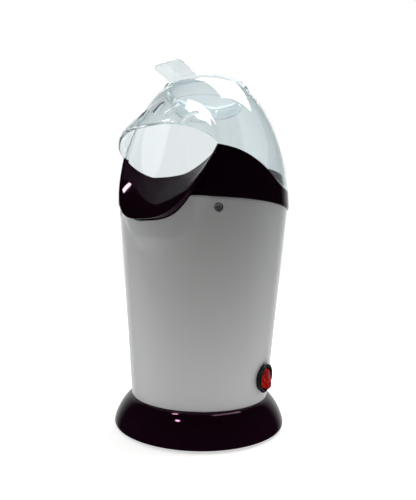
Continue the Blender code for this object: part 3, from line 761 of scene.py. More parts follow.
def ease_edges(piece: bpy.types.Object, width: float, degrees: float = 40.0,
               segments: int = 3) -> None:
    """Round the sharp edges of a piece.

    Args:
        piece: The object.
        width: How much of each face the rounding takes, in millimetres.
        degrees: The angle between faces from which an edge is sharp.
        segments: Faces across the rounding.
    """
    step = piece.modifiers.new("eased_edges", "BEVEL")
    step.width = width * MM
    step.segments = segments
    step.limit_method = "ANGLE"
    step.angle_limit = math.radians(degrees)
    step.miter_outer = "MITER_ARC"
    settle(piece)


def hand_over(piece: bpy.types.Object, slot: str, body: Body, *nodes: str) -> None:
    """Dress a finished piece and hand it to the frame.

    Args:
        piece: The finished mesh object.
        slot: The record's material slot.
        body: The body it moves with.
        *nodes: The CAD nodes it stands for.
    """
    piece.data.materials.clear()
    piece.data.materials.append(finish(slot))
    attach(piece, body.value)
    if nodes:
        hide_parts(*nodes)
    LOG.info("%s: %d faces for %s", piece.name, len(piece.data.polygons), ", ".join(nodes))


# ---------------------------------------------------------------- copies by Geometry Nodes
@dataclass
class RingOfCopies:
    """Geometry Nodes tree that sets copies of a form round the body's axis."""

    tree: bpy.types.NodeTree | None = None

    INPUTS = (("Form", "Object"), ("Finish", "Material"), ("Count", "Int"),
              ("First Angle", "Float"), ("Angle Step", "Float"), ("Radius", "Float"),
              ("Height", "Float"), ("Lean", "Float"))

    def build(self) -> None:
        """Make the tree: points by number, and a copy on each that faces outward."""
        graph = FormTree("ring_of_copies", self.INPUTS)
        value = graph.value
        turn = graph.node("GeometryNodeInputIndex") * value["Angle Step"] + value["First Angle"]
        sine, cosine = (graph.node("ShaderNodeMath", {"operation": name}, {0: turn})
                        for name in ("SINE", "COSINE"))
        spot = graph.vector(value["Radius"] * sine, AXIS_Y * MM - value["Radius"] * cosine,
                            value["Height"])
        facing = graph.vector(x=value["Lean"], z=turn)
        ring = graph.copies(graph.points(spot), graph.held(value["Form"]), facing)
        self.tree = graph.close(ring)

    def make(self, name: str, form: bpy.types.Object, slot: str, count: int, first: float,
             step: float, radius: float, height: float, lean: float) -> bpy.types.Object:
        """Copies of a form as one plain mesh.

        Args:
            name: The new object's name.
            form: The mesh to copy, about the world's origin in metres; it is removed.
            slot: The finish of the copies.
            count: How many copies.
            first: The first one's angle from the front, in degrees.
            step: The angle between copies, in degrees.
            radius: Their distance from the axis, in millimetres.
            height: Their height, in millimetres.
            lean: The turn that tips the form's +Z over towards the outside, in degrees.

        Returns:
            The object, with its place in its mesh.
        """
        if self.tree is None:
            self.build()
        given = {"Form": form, "Finish": finish(slot), "Count": count,
                 "First Angle": math.radians(first), "Angle Step": math.radians(step),
                 "Radius": radius * MM, "Height": height * MM, "Lean": math.radians(lean)}
        made = grown(name, self.tree, given)
        bpy.data.objects.remove(form, do_unlink=True)
        return made


def grown(name: str, tree: bpy.types.NodeTree, given: dict[str, object]) -> bpy.types.Object:
    """What a Geometry Nodes tree makes, as a plain mesh.

    Args:
        name: The new object's name.
        tree: The tree.
        given: Its input values by name.

    Returns:
        The object.
    """
    made = stand(name, bpy.data.meshes.new(name))
    step = made.modifiers.new(tree.name, "NODES")
    step.node_group = tree
    for item in tree.interface.items_tree:
        if item.in_out == "INPUT":
            step[item.identifier] = given[item.name]
    made.update_tag()
    bpy.context.view_layer.update()
    settle(made)
    return made


COPIES = RingOfCopies()


def lathe_form(name: str, profile: list[tuple[float, float]], steps: int = 40) -> bpy.types.Object:
    """A small turned form about the world's origin, for the copies.

    Args:
        name: The object's name.
        profile: Open profile of (radius, height) points.
        steps: Columns round the form.

    Returns:
        The object.
    """
    made = turned(name, profile, steps, closed=False)
    made.data.transform(TO_ORIGIN)
    return made


def bar_form(half: Point, centre: Point = (0, 0, 0)) -> bpy.types.Object:
    """A box about the world's origin, to cut with.

    Args:
        half: Half its sides in millimetres.
        centre: Its middle in millimetres.

    Returns:
        The object.
    """
    ring = ((-1, -1), (1, -1), (1, 1), (-1, 1))
    corners = np.array([(x, y, z) for z in (-1, 1) for x, y in ring], float)
    made = loft("bar", (corners * half + centre).reshape(2, 4, 3))
    made.data.transform(TO_ORIGIN)
    return made


# ---------------------------------------------------------------- shared surfaces
@dataclass
class Shape:
    """The surfaces that body, collar and cover share."""

    joint_r: float = 57.7
    joint_z: float = 24.2
    body_top_r: float = 72.6
    body_top_z: float = 181.5
    wall: float = 2.4
    cover_r: float = 74.0
    cover_rise: float = 122.0
    cover_z: float = 180.0
    peak_y: float = -53.0
    peak_z: float = 220.5
    seat_back_z: float = 194.5
    lip_slope: float = 2.0
    mouth_slope: float = 0.45
    screw_degrees: float = 41.5
    screw_z: float = 173.8

    def body(self, z: object) -> object:
        """Outer radius of the white body at a height."""
        share = (z - self.joint_z) / (self.body_top_z - self.joint_z)
        return self.joint_r + share * (self.body_top_r - self.joint_r)

    def cover(self, z: object, inset: float = 0.0) -> object:
        """Radius of the cover's ellipsoid, or of one inset within it."""
        share = (np.asarray(z, float) - self.cover_z) / (self.cover_rise - inset)
        return (self.cover_r - inset) * np.sqrt(np.maximum(0.0, 1 - share * share))

    def seat_points(self, per_span: int = 10) -> list[tuple[float, float]]:
        """The collar's top edge in side view, from the peaks to the level back.

        Args:
            per_span: Points in each span of the curve.

        Returns:
            The (y, z) points of a Catmull-Rom curve through the edge's knots.
        """
        knots = [(self.peak_y, self.peak_z), (-40, 217.2), (-25, 209.8), (-12, 201.6),
                 (2, 195.9), (17, self.seat_back_z)]
        path = [Vector(knot) for knot in knots]
        padded = [2 * path[0] - path[1], *path, 2 * path[-1] - path[-2]]
        line = []
        for a, b, c, d in zip(padded, padded[1:], padded[2:], padded[3:]):
            for k in range(per_span):
                t = k / per_span
                line.append(0.5 * (2 * b + (c - a) * t + (2 * a - 5 * b + 4 * c - d) * t ** 2
                                   + (3 * b - a - 3 * c + d) * t ** 3))
        line.append(path[-1])
        return [(p.x, p.y) for p in line]

    def edge(self, y: np.ndarray) -> np.ndarray:
        """Height of the cover's lower edge: the seat behind the peaks, the mouth before them.

        Args:
            y: How far back it is.

        Returns:
            The height.
        """
        seat = np.array(self.seat_points())
        back = np.interp(y, seat[:, 0], seat[:, 1])
        return np.where(y < self.peak_y,
                        self.peak_z + self.mouth_slope * (self.peak_y - y), back)

    def lip_y(self, z: object) -> object:
        """How far forward the plane of the chute's lip is at a height."""
        return self.peak_y - (self.peak_z - z) / self.lip_slope


SHAPE = Shape()


def chute_u(half_width: float, low: float, high: float, power: float,
            count: int = 32) -> np.ndarray:
    """A U across the chute as (x, z) points.

    Args:
        half_width: Half its width at the tips.
        low: Height of its lowest point.
        high: Height of its tips.
        power: How squarely it turns up.
        count: Points on each half.

    Returns:
        The points from the left tip to the right one.
    """
    share = np.sin(np.pi / 2 * np.arange(-count, count + 1) / count)
    return np.stack([half_width * share, low + (high - low) * np.abs(share) ** power], axis=1)


# ---------------------------------------------------------------- white body
@dataclass
class WhiteBody:
    """The tapering body with the bib that carries the chute's lip."""

    columns: int = 320
    bib_low: float = 139.8
    bib_half: float = 43.5
    bib_swell: float = 6.2
    bib_soft: float = 0.5
    dip_half: float = 47.5
    dip_low: float = 164.1
    dip_power: float = 3.1
    rim: float = 0.5
    recess_r: float = 3.4
    switch_z: float = 44.0
    switch_hole_r: float = 10.3

    def outside(self, degrees: np.ndarray, z: np.ndarray) -> np.ndarray:
        """Outer radius with the bib's swell.

        Args:
            degrees: Angle from the front.
            z: Height.

        Returns:
            The radius.
        """
        share = (z - self.bib_low) / (SHAPE.body_top_z - 0.5 - self.bib_low)
        kept = np.clip(share, 0.0, 1.1)
        half_turn = np.degrees(np.arcsin(self.bib_half * np.sqrt(0.02 + 0.98 * kept)
                                         / SHAPE.body(z)))
        part = np.abs(degrees) / half_turn
        bib = self.bib_swell * kept ** 0.9 * (1 - part ** 2) - 0.25 + np.minimum(share, 0) * 30
        return SHAPE.body(z) + smooth_max(np.zeros_like(bib), np.maximum(bib, -9.0), self.bib_soft)

    def top(self, degrees: np.ndarray) -> np.ndarray:
        """Height of the top edge: level, with the dip in which the chute lies.

        Args:
            degrees: Angle from the front.

        Returns:
            The height.
        """
        level = SHAPE.body_top_z
        height = np.full_like(degrees, level)
        for _ in range(6):
            x = np.abs(self.outside(degrees, height) * np.sin(np.radians(degrees)))
            x = np.where(np.abs(degrees) < 90, x, 90.0)
            rise = (x / self.dip_half) ** self.dip_power
            dip = self.dip_low + (SHAPE.peak_z - self.dip_low) * rise
            height = smooth_min(np.full_like(dip, level), np.minimum(dip, 260.0), 0.6)
        return height

    def build(self) -> bpy.types.Object:
        """The wall as one shell with rounded rims, its recesses and its switch hole cut.

        Returns:
            The object.
        """
        degrees = np.arange(self.columns) * 360.0 / self.columns - 180.0
        top = self.top(degrees) - self.rim
        low = SHAPE.joint_z + 0.3 + self.rim
        share = np.linspace(0, 1, 86)[:, None]
        z = low + (top - low) * share
        outer_r = self.outside(degrees[None, :], z)
        inner_share = np.linspace(1, 0, 30)[:, None]
        inner_z = low + (top - low) * inner_share
        inner_r = SHAPE.body(inner_z) - SHAPE.wall + 0 * degrees
        rows = [polar(degrees, outer_r[i], z[i]) for i in range(len(z))]
        rows += self._rim(degrees, outer_r[-1], inner_r[0], top, 1.0)
        rows += [polar(degrees, inner_r[i], inner_z[i]) for i in range(len(inner_z))]
        rows += self._rim(degrees, inner_r[-1], outer_r[0], np.full_like(degrees, low), -1.0)
        made = quilt("white_body", np.array(rows), True)
        for side in (-1, 1):
            combine(made, radial_rod("recess", side * SHAPE.screw_degrees, (60.0, 80.0),
                                     SHAPE.screw_z, self.recess_r), Join.CUT)
        combine(made, rod("switch_hole", (45, 0, self.switch_z), (75, 0, self.switch_z),
                          self.switch_hole_r), Join.CUT)
        soften(made)
        return made

    def _rim(self, degrees: np.ndarray, start_r: np.ndarray, end_r: np.ndarray,
             z: np.ndarray, way: float) -> list[np.ndarray]:
        """Rows that close the wall over its edge with rounded corners.

        Args:
            degrees: Angles of the columns.
            start_r: Radius at which the rows start, on each column.
            end_r: Radius at which they end.
            z: Height of the edge.
            way: 1 for an edge that faces up, -1 for one that faces down.

        Returns:
            The rows of points.
        """
        rows = []
        middle, half = (start_r + end_r) / 2, (start_r - end_r) / 2
        for turn in np.radians((25, 50, 75, 105, 130, 155)):
            across = math.copysign(abs(math.cos(turn)) ** 0.35, math.cos(turn))
            rows.append(polar(degrees, middle + half * across,
                              z + way * self.rim * math.sin(turn) ** 0.8))
        return rows

    def screws(self) -> bpy.types.Object:
        """The two cross-head screws that hold the collar.

        Returns:
            All of them as one object.
        """
        head = lathe_form("side_screw_form", [
            (0, 1.75), (1.2, 1.7), (2.1, 1.45), (2.7, 0.9), (2.9, 0.35), (2.9, 0), (1.35, 0),
            (1.35, -9), (0, -9)], 48)
        for wide, deep in ((1.75, 0.32), (0.32, 1.75)):
            combine(head, bar_form((wide, deep, 2.0), (0, 0, 2.7)), Join.CUT)
        ease_edges(head, 0.08, 40, 2)
        made = COPIES.make("side_screws", head, "zinc_steel", 2, -SHAPE.screw_degrees,
                           2 * SHAPE.screw_degrees, SHAPE.body(SHAPE.screw_z) - SHAPE.wall,
                           SHAPE.screw_z, 90.0)
        soften(made)
        return made

    def publish(self) -> None:
        """Build and hand over the body and its screws."""
        hand_over(self.build(), "white_plastic", Body.ROOT, "outer_housing")
        hand_over(self.screws(), "zinc_steel", Body.ROOT, "side_screw_left", "side_screw_right")


# ---------------------------------------------------------------- base
@dataclass
class Base:
    """The flared plum base with its plate, feet, screws and the lead's gland."""

    rim_r: float = 71.2
    rim_z: float = 3.4
    flare_power: float = 1.4
    boss_at: float = 52.0
    gland_y: float = 71.6
    gland_z: float = 14.5
    steps: int = 200

    def skirt(self) -> bpy.types.Object:
        """The flare as one turned shell, with screw bosses and the lead's hole.

        Returns:
            The object.
        """
        turns = np.linspace(0, np.pi / 2, 44)
        flare = [(SHAPE.joint_r + (self.rim_r - SHAPE.joint_r) * math.sin(t) ** self.flare_power,
                  self.rim_z + (SHAPE.joint_z - self.rim_z) * math.cos(t) ** self.flare_power)
                 for t in turns]
        inner = [(r - 2.3, z - 1.6) for r, z in reversed(flare[4:-6:3])]
        spigot = SHAPE.body(SHAPE.joint_z + 7) - SHAPE.wall - 1.4
        lip_z = 1.7
        profile = [(spigot, SHAPE.joint_z + 6.5), (spigot, SHAPE.joint_z), *flare,
                   (self.rim_r - 0.1, lip_z + 0.9), (self.rim_r - 0.35, lip_z + 0.3),
                   (self.rim_r - 0.8, lip_z), (self.rim_r - 2.0, lip_z),
                   (self.rim_r - 2.3, lip_z + 0.4), *inner,
                   (spigot - 1.8, SHAPE.joint_z - 2.4), (spigot - 1.8, SHAPE.joint_z + 6.5)]
        made = turned("flared_base", profile, self.steps)
        combine(made, rod("lead_hole", (0, 50, self.gland_z), (0, 80, self.gland_z), 5.3), Join.CUT)
        for degrees in (45, 135, 225, 315):
            foot = polar(np.array([degrees] * 2), self.boss_at, np.array([7.0, 24.0]))
            combine(made, rod("boss", *foot, 3.2), Join.ADD)
            pilot = polar(np.array([degrees] * 2), self.boss_at, np.array([5.0, 18.0]))
            combine(made, rod("pilot", *pilot, 1.6), Join.CUT)
        soften(made)
        return made

    def plate(self) -> bpy.types.Object:
        """The closing plate with its air slots, fan posts and screw holes.

        Returns:
            The object.
        """
        made = turned("vented_plate", rounded([(0, 6.6, 0), (65.5, 6.6, 0.5), (65.5, 4.4, 0.5),
                                               (0, 4.4, 0)]), 120, closed=False)
        slot = bar_form((2.0, 8.5, 3.5))
        ease_edges(slot, 1.6, 60, 4)
        slots = COPIES.make("plate_slots", slot, "black_plastic", 12, 15, 30, 25.5, 5.5, 0)
        combine(made, slots, Join.CUT)
        post = lathe_form("post_form", [(0, 12.3), (4, 12.3), (4, -12.3), (0, -12.3)])
        posts = COPIES.make("plate_posts", post, "black_plastic", 3, 0, 120, 44.0, 17.3, 0)
        combine(made, posts, Join.ADD)
        hole = lathe_form("hole_form", [(0, 4), (1.8, 4), (1.8, -4), (0, -4)])
        holes = COPIES.make("plate_holes", hole, "black_plastic", 4, 45, 90, self.boss_at, 5.5, 0)
        combine(made, holes, Join.CUT)
        soften(made)
        return made

    def feet(self) -> bpy.types.Object:
        """Four rubber feet with a dished sole.

        Returns:
            All of them as one object.
        """
        form = lathe_form("foot_form", [
            (0, 4.1), (5.6, 4.1), (6.0, 3.9), (6.15, 3.4), (6.5, 1.3), (6.4, 0.8), (6.1, 0.35),
            (5.7, 0.1), (5.2, 0.0), (4.2, 0.0), (3.8, 0.35), (0, 0.5)])
        made = COPIES.make("rubber_feet", form, "foot_rubber", 4, 63, 90, 57.5, 0, 0)
        soften(made)
        return made

    def screws(self) -> bpy.types.Object:
        """The four screws under the plate.

        Returns:
            All of them as one object.
        """
        form = lathe_form("base_screw_form", [
            (0, 16), (1.3, 16), (1.3, 4.1), (3, 4.1), (2.9, 3.4), (2.4, 2.8), (1.2, 2.6), (0, 2.6)])
        for wide, deep in ((1.7, 0.3), (0.3, 1.7)):
            combine(form, bar_form((wide, deep, 1.5), (0, 0, 2.0)), Join.CUT)
        made = COPIES.make("base_screws", form, "zinc_steel", 4, 45, 90, self.boss_at, 0, 0)
        soften(made)
        return made

    def gland(self) -> bpy.types.Object:
        """The ribbed bush where the mains lead goes in.

        Returns:
            The object.
        """
        profile = [(5, 0), (5, 15.5)]
        for k in range(4):
            profile += [(7.0, 15.5 + 0.5 * k), (7.0, 15.8 + 0.5 * k), (6.7, 15.85 + 0.5 * k)]
        profile += [(4.4, 17.5), (3.6, 17.3), (3.3, 16.8), (3.3, 0)]
        made = turned("lead_bush", profile, 60)
        place = (Matrix.Translation((0, (self.gland_y + AXIS_Y) * MM, self.gland_z * MM))
                 @ Euler((-math.pi / 2, 0, 0)).to_matrix().to_4x4()
                 @ Matrix.Scale(-1, 4, (0, 0, 1)) @ TO_ORIGIN)
        made.data.transform(place)
        made.data.flip_normals()
        soften(made)
        return made

    def publish(self) -> None:
        """Build and hand over the base's pieces."""
        hand_over(self.skirt(), "plum_plastic", Body.ROOT, "base_skirt")
        hand_over(self.plate(), "black_plastic", Body.ROOT, "base_plate")
        hand_over(self.feet(), "foot_rubber", Body.ROOT, "foot_1", "foot_2", "foot_3", "foot_4")
        hand_over(self.screws(), "zinc_steel", Body.ROOT,
                  "base_screw_1", "base_screw_2", "base_screw_3", "base_screw_4")
        hand_over(self.gland(), "black_plastic", Body.ROOT, "cord_gland")


# ---------------------------------------------------------------- collar and chute
@dataclass
class Collar:
    """The plum collar, its open chute, and the deck round the popping chamber."""

    lip_z: float = 171.5
    lip_under_z: float = 164.5
    in_half: float = 45.0
    out_half: float = 47.0
    out_power: float = 3.1
    back_y: float = -50.0
    back_power: float = 2.0
    clear_y: float = -96.0
    scoop_y: float = -51.5
    cavity_y: float = -40.0
    above_z: float = 245.0
    floor: float = 3.2
    inset: float = 2.4
    deck_z: float = 200.8
    flange_top: float = 208.0
    chamber_r: float = 44.5
    vee: float = 16.8
    vee_power: float = 1.15
    vee_tip: float = 0.04
    side_power: float = 5.5
    screw_bore_r: float = 1.7
    steps: int = 216

    def band(self) -> bpy.types.Object:
        """The outer band cut to the seat line.

        Returns:
            The object.
        """
        low = SHAPE.body_top_z + 0.3
        heights = np.linspace(low, 223.0, 34)
        outer = list(zip(SHAPE.cover(heights), heights))
        inner = list(zip(SHAPE.cover(heights[::2], 3.4), heights[::2]))
        made = turned("chute_collar", [(outer[0][0] - 0.5, low)] + outer[1:]
                      + inner[::-1], self.steps)
        above = [(-90, SHAPE.peak_z), *SHAPE.seat_points(), (90, SHAPE.seat_back_z), (90, 240),
                 (-90, 240)]
        combine(made, prism("above_seat", above, 90), Join.CUT)
        return made

    def inner_parts(self) -> list[bpy.types.Object]:
        """Flange inside the cover, deck round the chamber's mouth, and spigot in the body.

        Returns:
            The three objects.
        """
        heights = np.linspace(190, self.flange_top, 14)
        flange = turned("flange", [
            *zip(SHAPE.cover(heights, 3.1), heights),
            *zip(SHAPE.cover(heights, 5.2)[::-1], heights[::-1])], self.steps)
        deck = turned("deck", [
            (68.9, self.deck_z + 1.8), (68.9, self.deck_z - 1.0),
            (self.chamber_r - 0.8, self.deck_z - 2.6), (self.chamber_r - 0.8, self.deck_z)],
            self.steps)
        low = SHAPE.body_top_z + 0.3
        top, bottom = low + 3, 168.0
        radius = [SHAPE.body(z) - SHAPE.wall - 0.5 for z in (low, bottom)]
        spigot = turned("spigot", [
            (SHAPE.cover(top, 2.0), top), (SHAPE.cover(low, 2.0), low + 0.6), (radius[0], low),
            (radius[1], bottom), (radius[1] - 2, bottom), (radius[0] - 2, top)], self.steps)
        return [spigot, deck, flange]

    def lip_vee(self, count: int = 32) -> np.ndarray:
        """The floor's edge at the lip: a shallow V that turns up into steep sides.

        Args:
            count: Points on each half.

        Returns:
            The (x, z) points from the left tip to the right one.
        """
        share = np.sin(np.pi / 2 * np.arange(-count, count + 1) / count)
        size = np.sqrt(share ** 2 + self.vee_tip ** 2)
        arm = self.vee * (size ** self.vee_power - self.vee_tip ** self.vee_power)
        side = (SHAPE.peak_z - self.lip_z - self.vee) * np.abs(share) ** self.side_power
        return np.stack([self.in_half * share, self.lip_z + arm + side], axis=1)

    def chute_tools(self) -> tuple[bpy.types.Object, bpy.types.Object, bpy.types.Object]:
        """Make what the chute is joined and cut from.

        Returns:
            The chute's outside, its hollow, and the space under its floor.
        """
        outside = chute_u(self.out_half, self.lip_under_z, SHAPE.peak_z - 0.6, self.out_power)
        scoop = loft("scoop", [np.array([(x, SHAPE.lip_y(z), z) for x, z in outside]),
                               np.array([(x, self.scoop_y, z) for x, z in outside])])
        front = self.lip_vee()
        back = chute_u(self.in_half, self.deck_z + 0.1, SHAPE.peak_z, self.back_power)

        def section(share: float, drop: float = 0.0) -> np.ndarray:
            """One section of the trough.

            Args:
                share: How far forward it is, from the deck at 0 to the lip at 1.
                drop: How much lower it is than the trough's own floor.

            Returns:
                The points of its ring, closed well above the cover's seat.
            """
            start = np.array([(x, self.back_y, z) for x, z in back])
            end = np.array([(x, SHAPE.lip_y(z), z) for x, z in front])
            ring = start + (end - start) * share - (0, 0, drop)
            deepest = ring[len(ring) // 2, 1]
            top = np.array([(side * self.in_half, deepest, self.above_z) for side in (-1, 1)])
            return np.concatenate([top[:1], ring, top[1:]])

        shares = [-0.2, *np.linspace(0.0, 1.0, 13), 1.4]
        hollow = loft("hollow", self._run_out([section(s) for s in shares]), Cap.MIRRORED)
        under = chute_u(self.out_half - self.inset, self.lip_under_z + self.inset, SHAPE.peak_z,
                        self.out_power)
        cavity = loft("cavity", [np.array([(x, SHAPE.lip_y(z) + 2.8, z) for x, z in under]),
                                 np.array([(x, self.cavity_y, z) for x, z in under])])
        guard = loft("guard", self._run_out([section(s, self.floor)
                                             for s in (-0.8, *shares[2:])]), Cap.MIRRORED)
        combine(cavity, guard, Join.CUT)
        return scoop, hollow, cavity

    def _run_out(self, sections: list[np.ndarray]) -> list[np.ndarray]:
        """The trough's sections with one more, level with the last and well clear in front.

        Args:
            sections: The trough's own.

        Returns:
            The sections.
        """
        clear = sections[-1].copy()
        clear[:, 1] = self.clear_y
        return [*sections, clear]

    def build(self) -> bpy.types.Object:
        """The collar and chute as one body.

        Returns:
            The object.
        """
        made = self.band()
        scoop, hollow, cavity = self.chute_tools()
        for part in [*self.inner_parts(), scoop]:
            combine(made, part, Join.ADD)
        combine(made, hollow, Join.CUT)
        combine(made, cavity, Join.CUT)
        for side in (-1, 1):
            combine(made, radial_rod("screw_bore", side * SHAPE.screw_degrees, (58.0, 75.0),
                                     SHAPE.screw_z, self.screw_bore_r, 24), Join.CUT)
        soften(made, 30)
        return made

    def publish(self) -> None:
        """Build and hand over the collar."""
        hand_over(self.build(), "plum_plastic", Body.ROOT, "collar_chute")


# ---------------------------------------------------------------- clear cover
@dataclass
class VentRow:
    """Geometry Nodes tree for the hood's slots: their cutters, or the beads round them."""

    count: int = 5
    pitch: float = 14.5
    slot_width: float = 4.8
    slot_length: float = 17.0
    y: float = -66.0
    z: float = 250.0
    drop: float = 3.4
    tilt: float = 45.0
    splay: float = 17.0
    bead: float = 0.9
    cutter_depth: float = 18.0

    INPUTS = (("Count", "Int"), ("Pitch", "Float"), ("Width", "Float"), ("Length", "Float"),
              ("Depth", "Float"), ("Drop", "Float"), ("Tilt", "Float"), ("Splay", "Float"),
              ("Bead", "Float"), ("Centre", "Vector"), ("Skin", "Object"),
              ("Finish", "Material"))

    def tree(self, part: VentPart) -> bpy.types.NodeTree:
        """Make the tree: a round-ended outline for each vent, as a bead or a cutter.

        Args:
            part: Which of the two.

        Returns:
            The tree.
        """
        graph = FormTree(part.value, self.INPUTS)
        value = graph.value
        number = graph.node("GeometryNodeInputIndex") - (value["Count"] - 1.0) * 0.5
        offset = graph.vector(x=number * value["Pitch"],
                              z=number * number * value["Drop"] * -1.0)
        spot = graph.node("ShaderNodeVectorMath", {"operation": "ADD"},
                          {0: value["Centre"], 1: offset})
        facing = graph.vector(x=value["Tilt"], y=number * value["Splay"])
        outline = graph.node("GeometryNodeCurvePrimitiveQuadrilateral", {}, {
            "Width": value["Width"], "Height": value["Length"]})
        outline = graph.node("GeometryNodeFilletCurve", {"mode": "POLY"}, {
            "Curve": outline, "Count": 8, "Radius": value["Width"] * 0.499,
            "Limit Radius": True})
        if part is VentPart.BEADS:
            outline = graph.node("GeometryNodeResampleCurve", {"mode": "COUNT"},
                                 {"Curve": outline, "Count": 72})
            rows = graph.realised(graph.copies(graph.points(spot), outline, facing))
            return graph.close(self._beads(graph, rows))
        block = self._block(graph, outline)
        return graph.close(graph.copies(graph.points(spot), block, facing))

    @staticmethod
    def _beads(graph: FormTree, rows: Signal) -> Signal:
        """Round beads along the outlines, drawn onto the skin.

        Args:
            graph: The tree under construction.
            rows: The outlines, each at its vent.

        Returns:
            The beads.
        """
        nearest = graph.node("GeometryNodeProximity", {"target_element": "FACES"},
                             {0: graph.held(graph.value["Skin"])}, out="Position")
        rows = graph.node("GeometryNodeSetPosition", {}, {"Geometry": rows, "Position": nearest})
        section = graph.node("GeometryNodeCurvePrimitiveCircle", {"mode": "RADIUS"},
                             {"Resolution": 10, "Radius": graph.value["Bead"]})
        return graph.node("GeometryNodeCurveToMesh", {}, {
            "Curve": rows, "Profile Curve": section, "Fill Caps": False})

    @staticmethod
    def _block(graph: FormTree, outline: Signal) -> Signal:
        """One cutter: the filled outline drawn through the skin, and closed below.

        Args:
            graph: The tree under construction.
            outline: The vent's outline.

        Returns:
            The cutter.
        """
        depth = graph.value["Depth"]
        low = graph.node("GeometryNodeTransform", {}, {
            "Geometry": graph.node("GeometryNodeFillCurve", {"mode": "NGONS"},
                                   {"Curve": outline}),
            "Translation": graph.vector(z=depth * -0.5)})
        wall = graph.node("GeometryNodeExtrudeMesh", {"mode": "FACES"}, {
            "Mesh": low, "Offset": graph.vector(z=1.0), "Offset Scale": depth,
            "Individual": False})
        under = graph.node("GeometryNodeFlipFaces", {}, {"Mesh": low})
        joined = graph.node("GeometryNodeJoinGeometry", {}, {0: wall})
        graph.feed(joined.socket.node.inputs[0], under)
        return graph.node("GeometryNodeMergeByDistance", {}, {
            "Geometry": joined, "Distance": 1e-7})

    def make(self, part: VentPart, skin: bpy.types.Object) -> bpy.types.Object:
        """The row as one plain mesh.

        Args:
            part: Beads or cutters.
            skin: The cover, onto which the beads are drawn.

        Returns:
            The object.
        """
        return grown(part.value, self.tree(part), {
            "Count": self.count, "Pitch": self.pitch * MM, "Width": self.slot_width * MM,
            "Length": self.slot_length * MM, "Depth": self.cutter_depth * MM,
            "Drop": self.drop * MM, "Tilt": math.radians(self.tilt),
            "Splay": math.radians(self.splay), "Bead": self.bead * MM, "Skin": skin,
            "Finish": finish("clear_plastic"),
            "Centre": (0, (self.y + AXIS_Y) * MM, self.z * MM)})


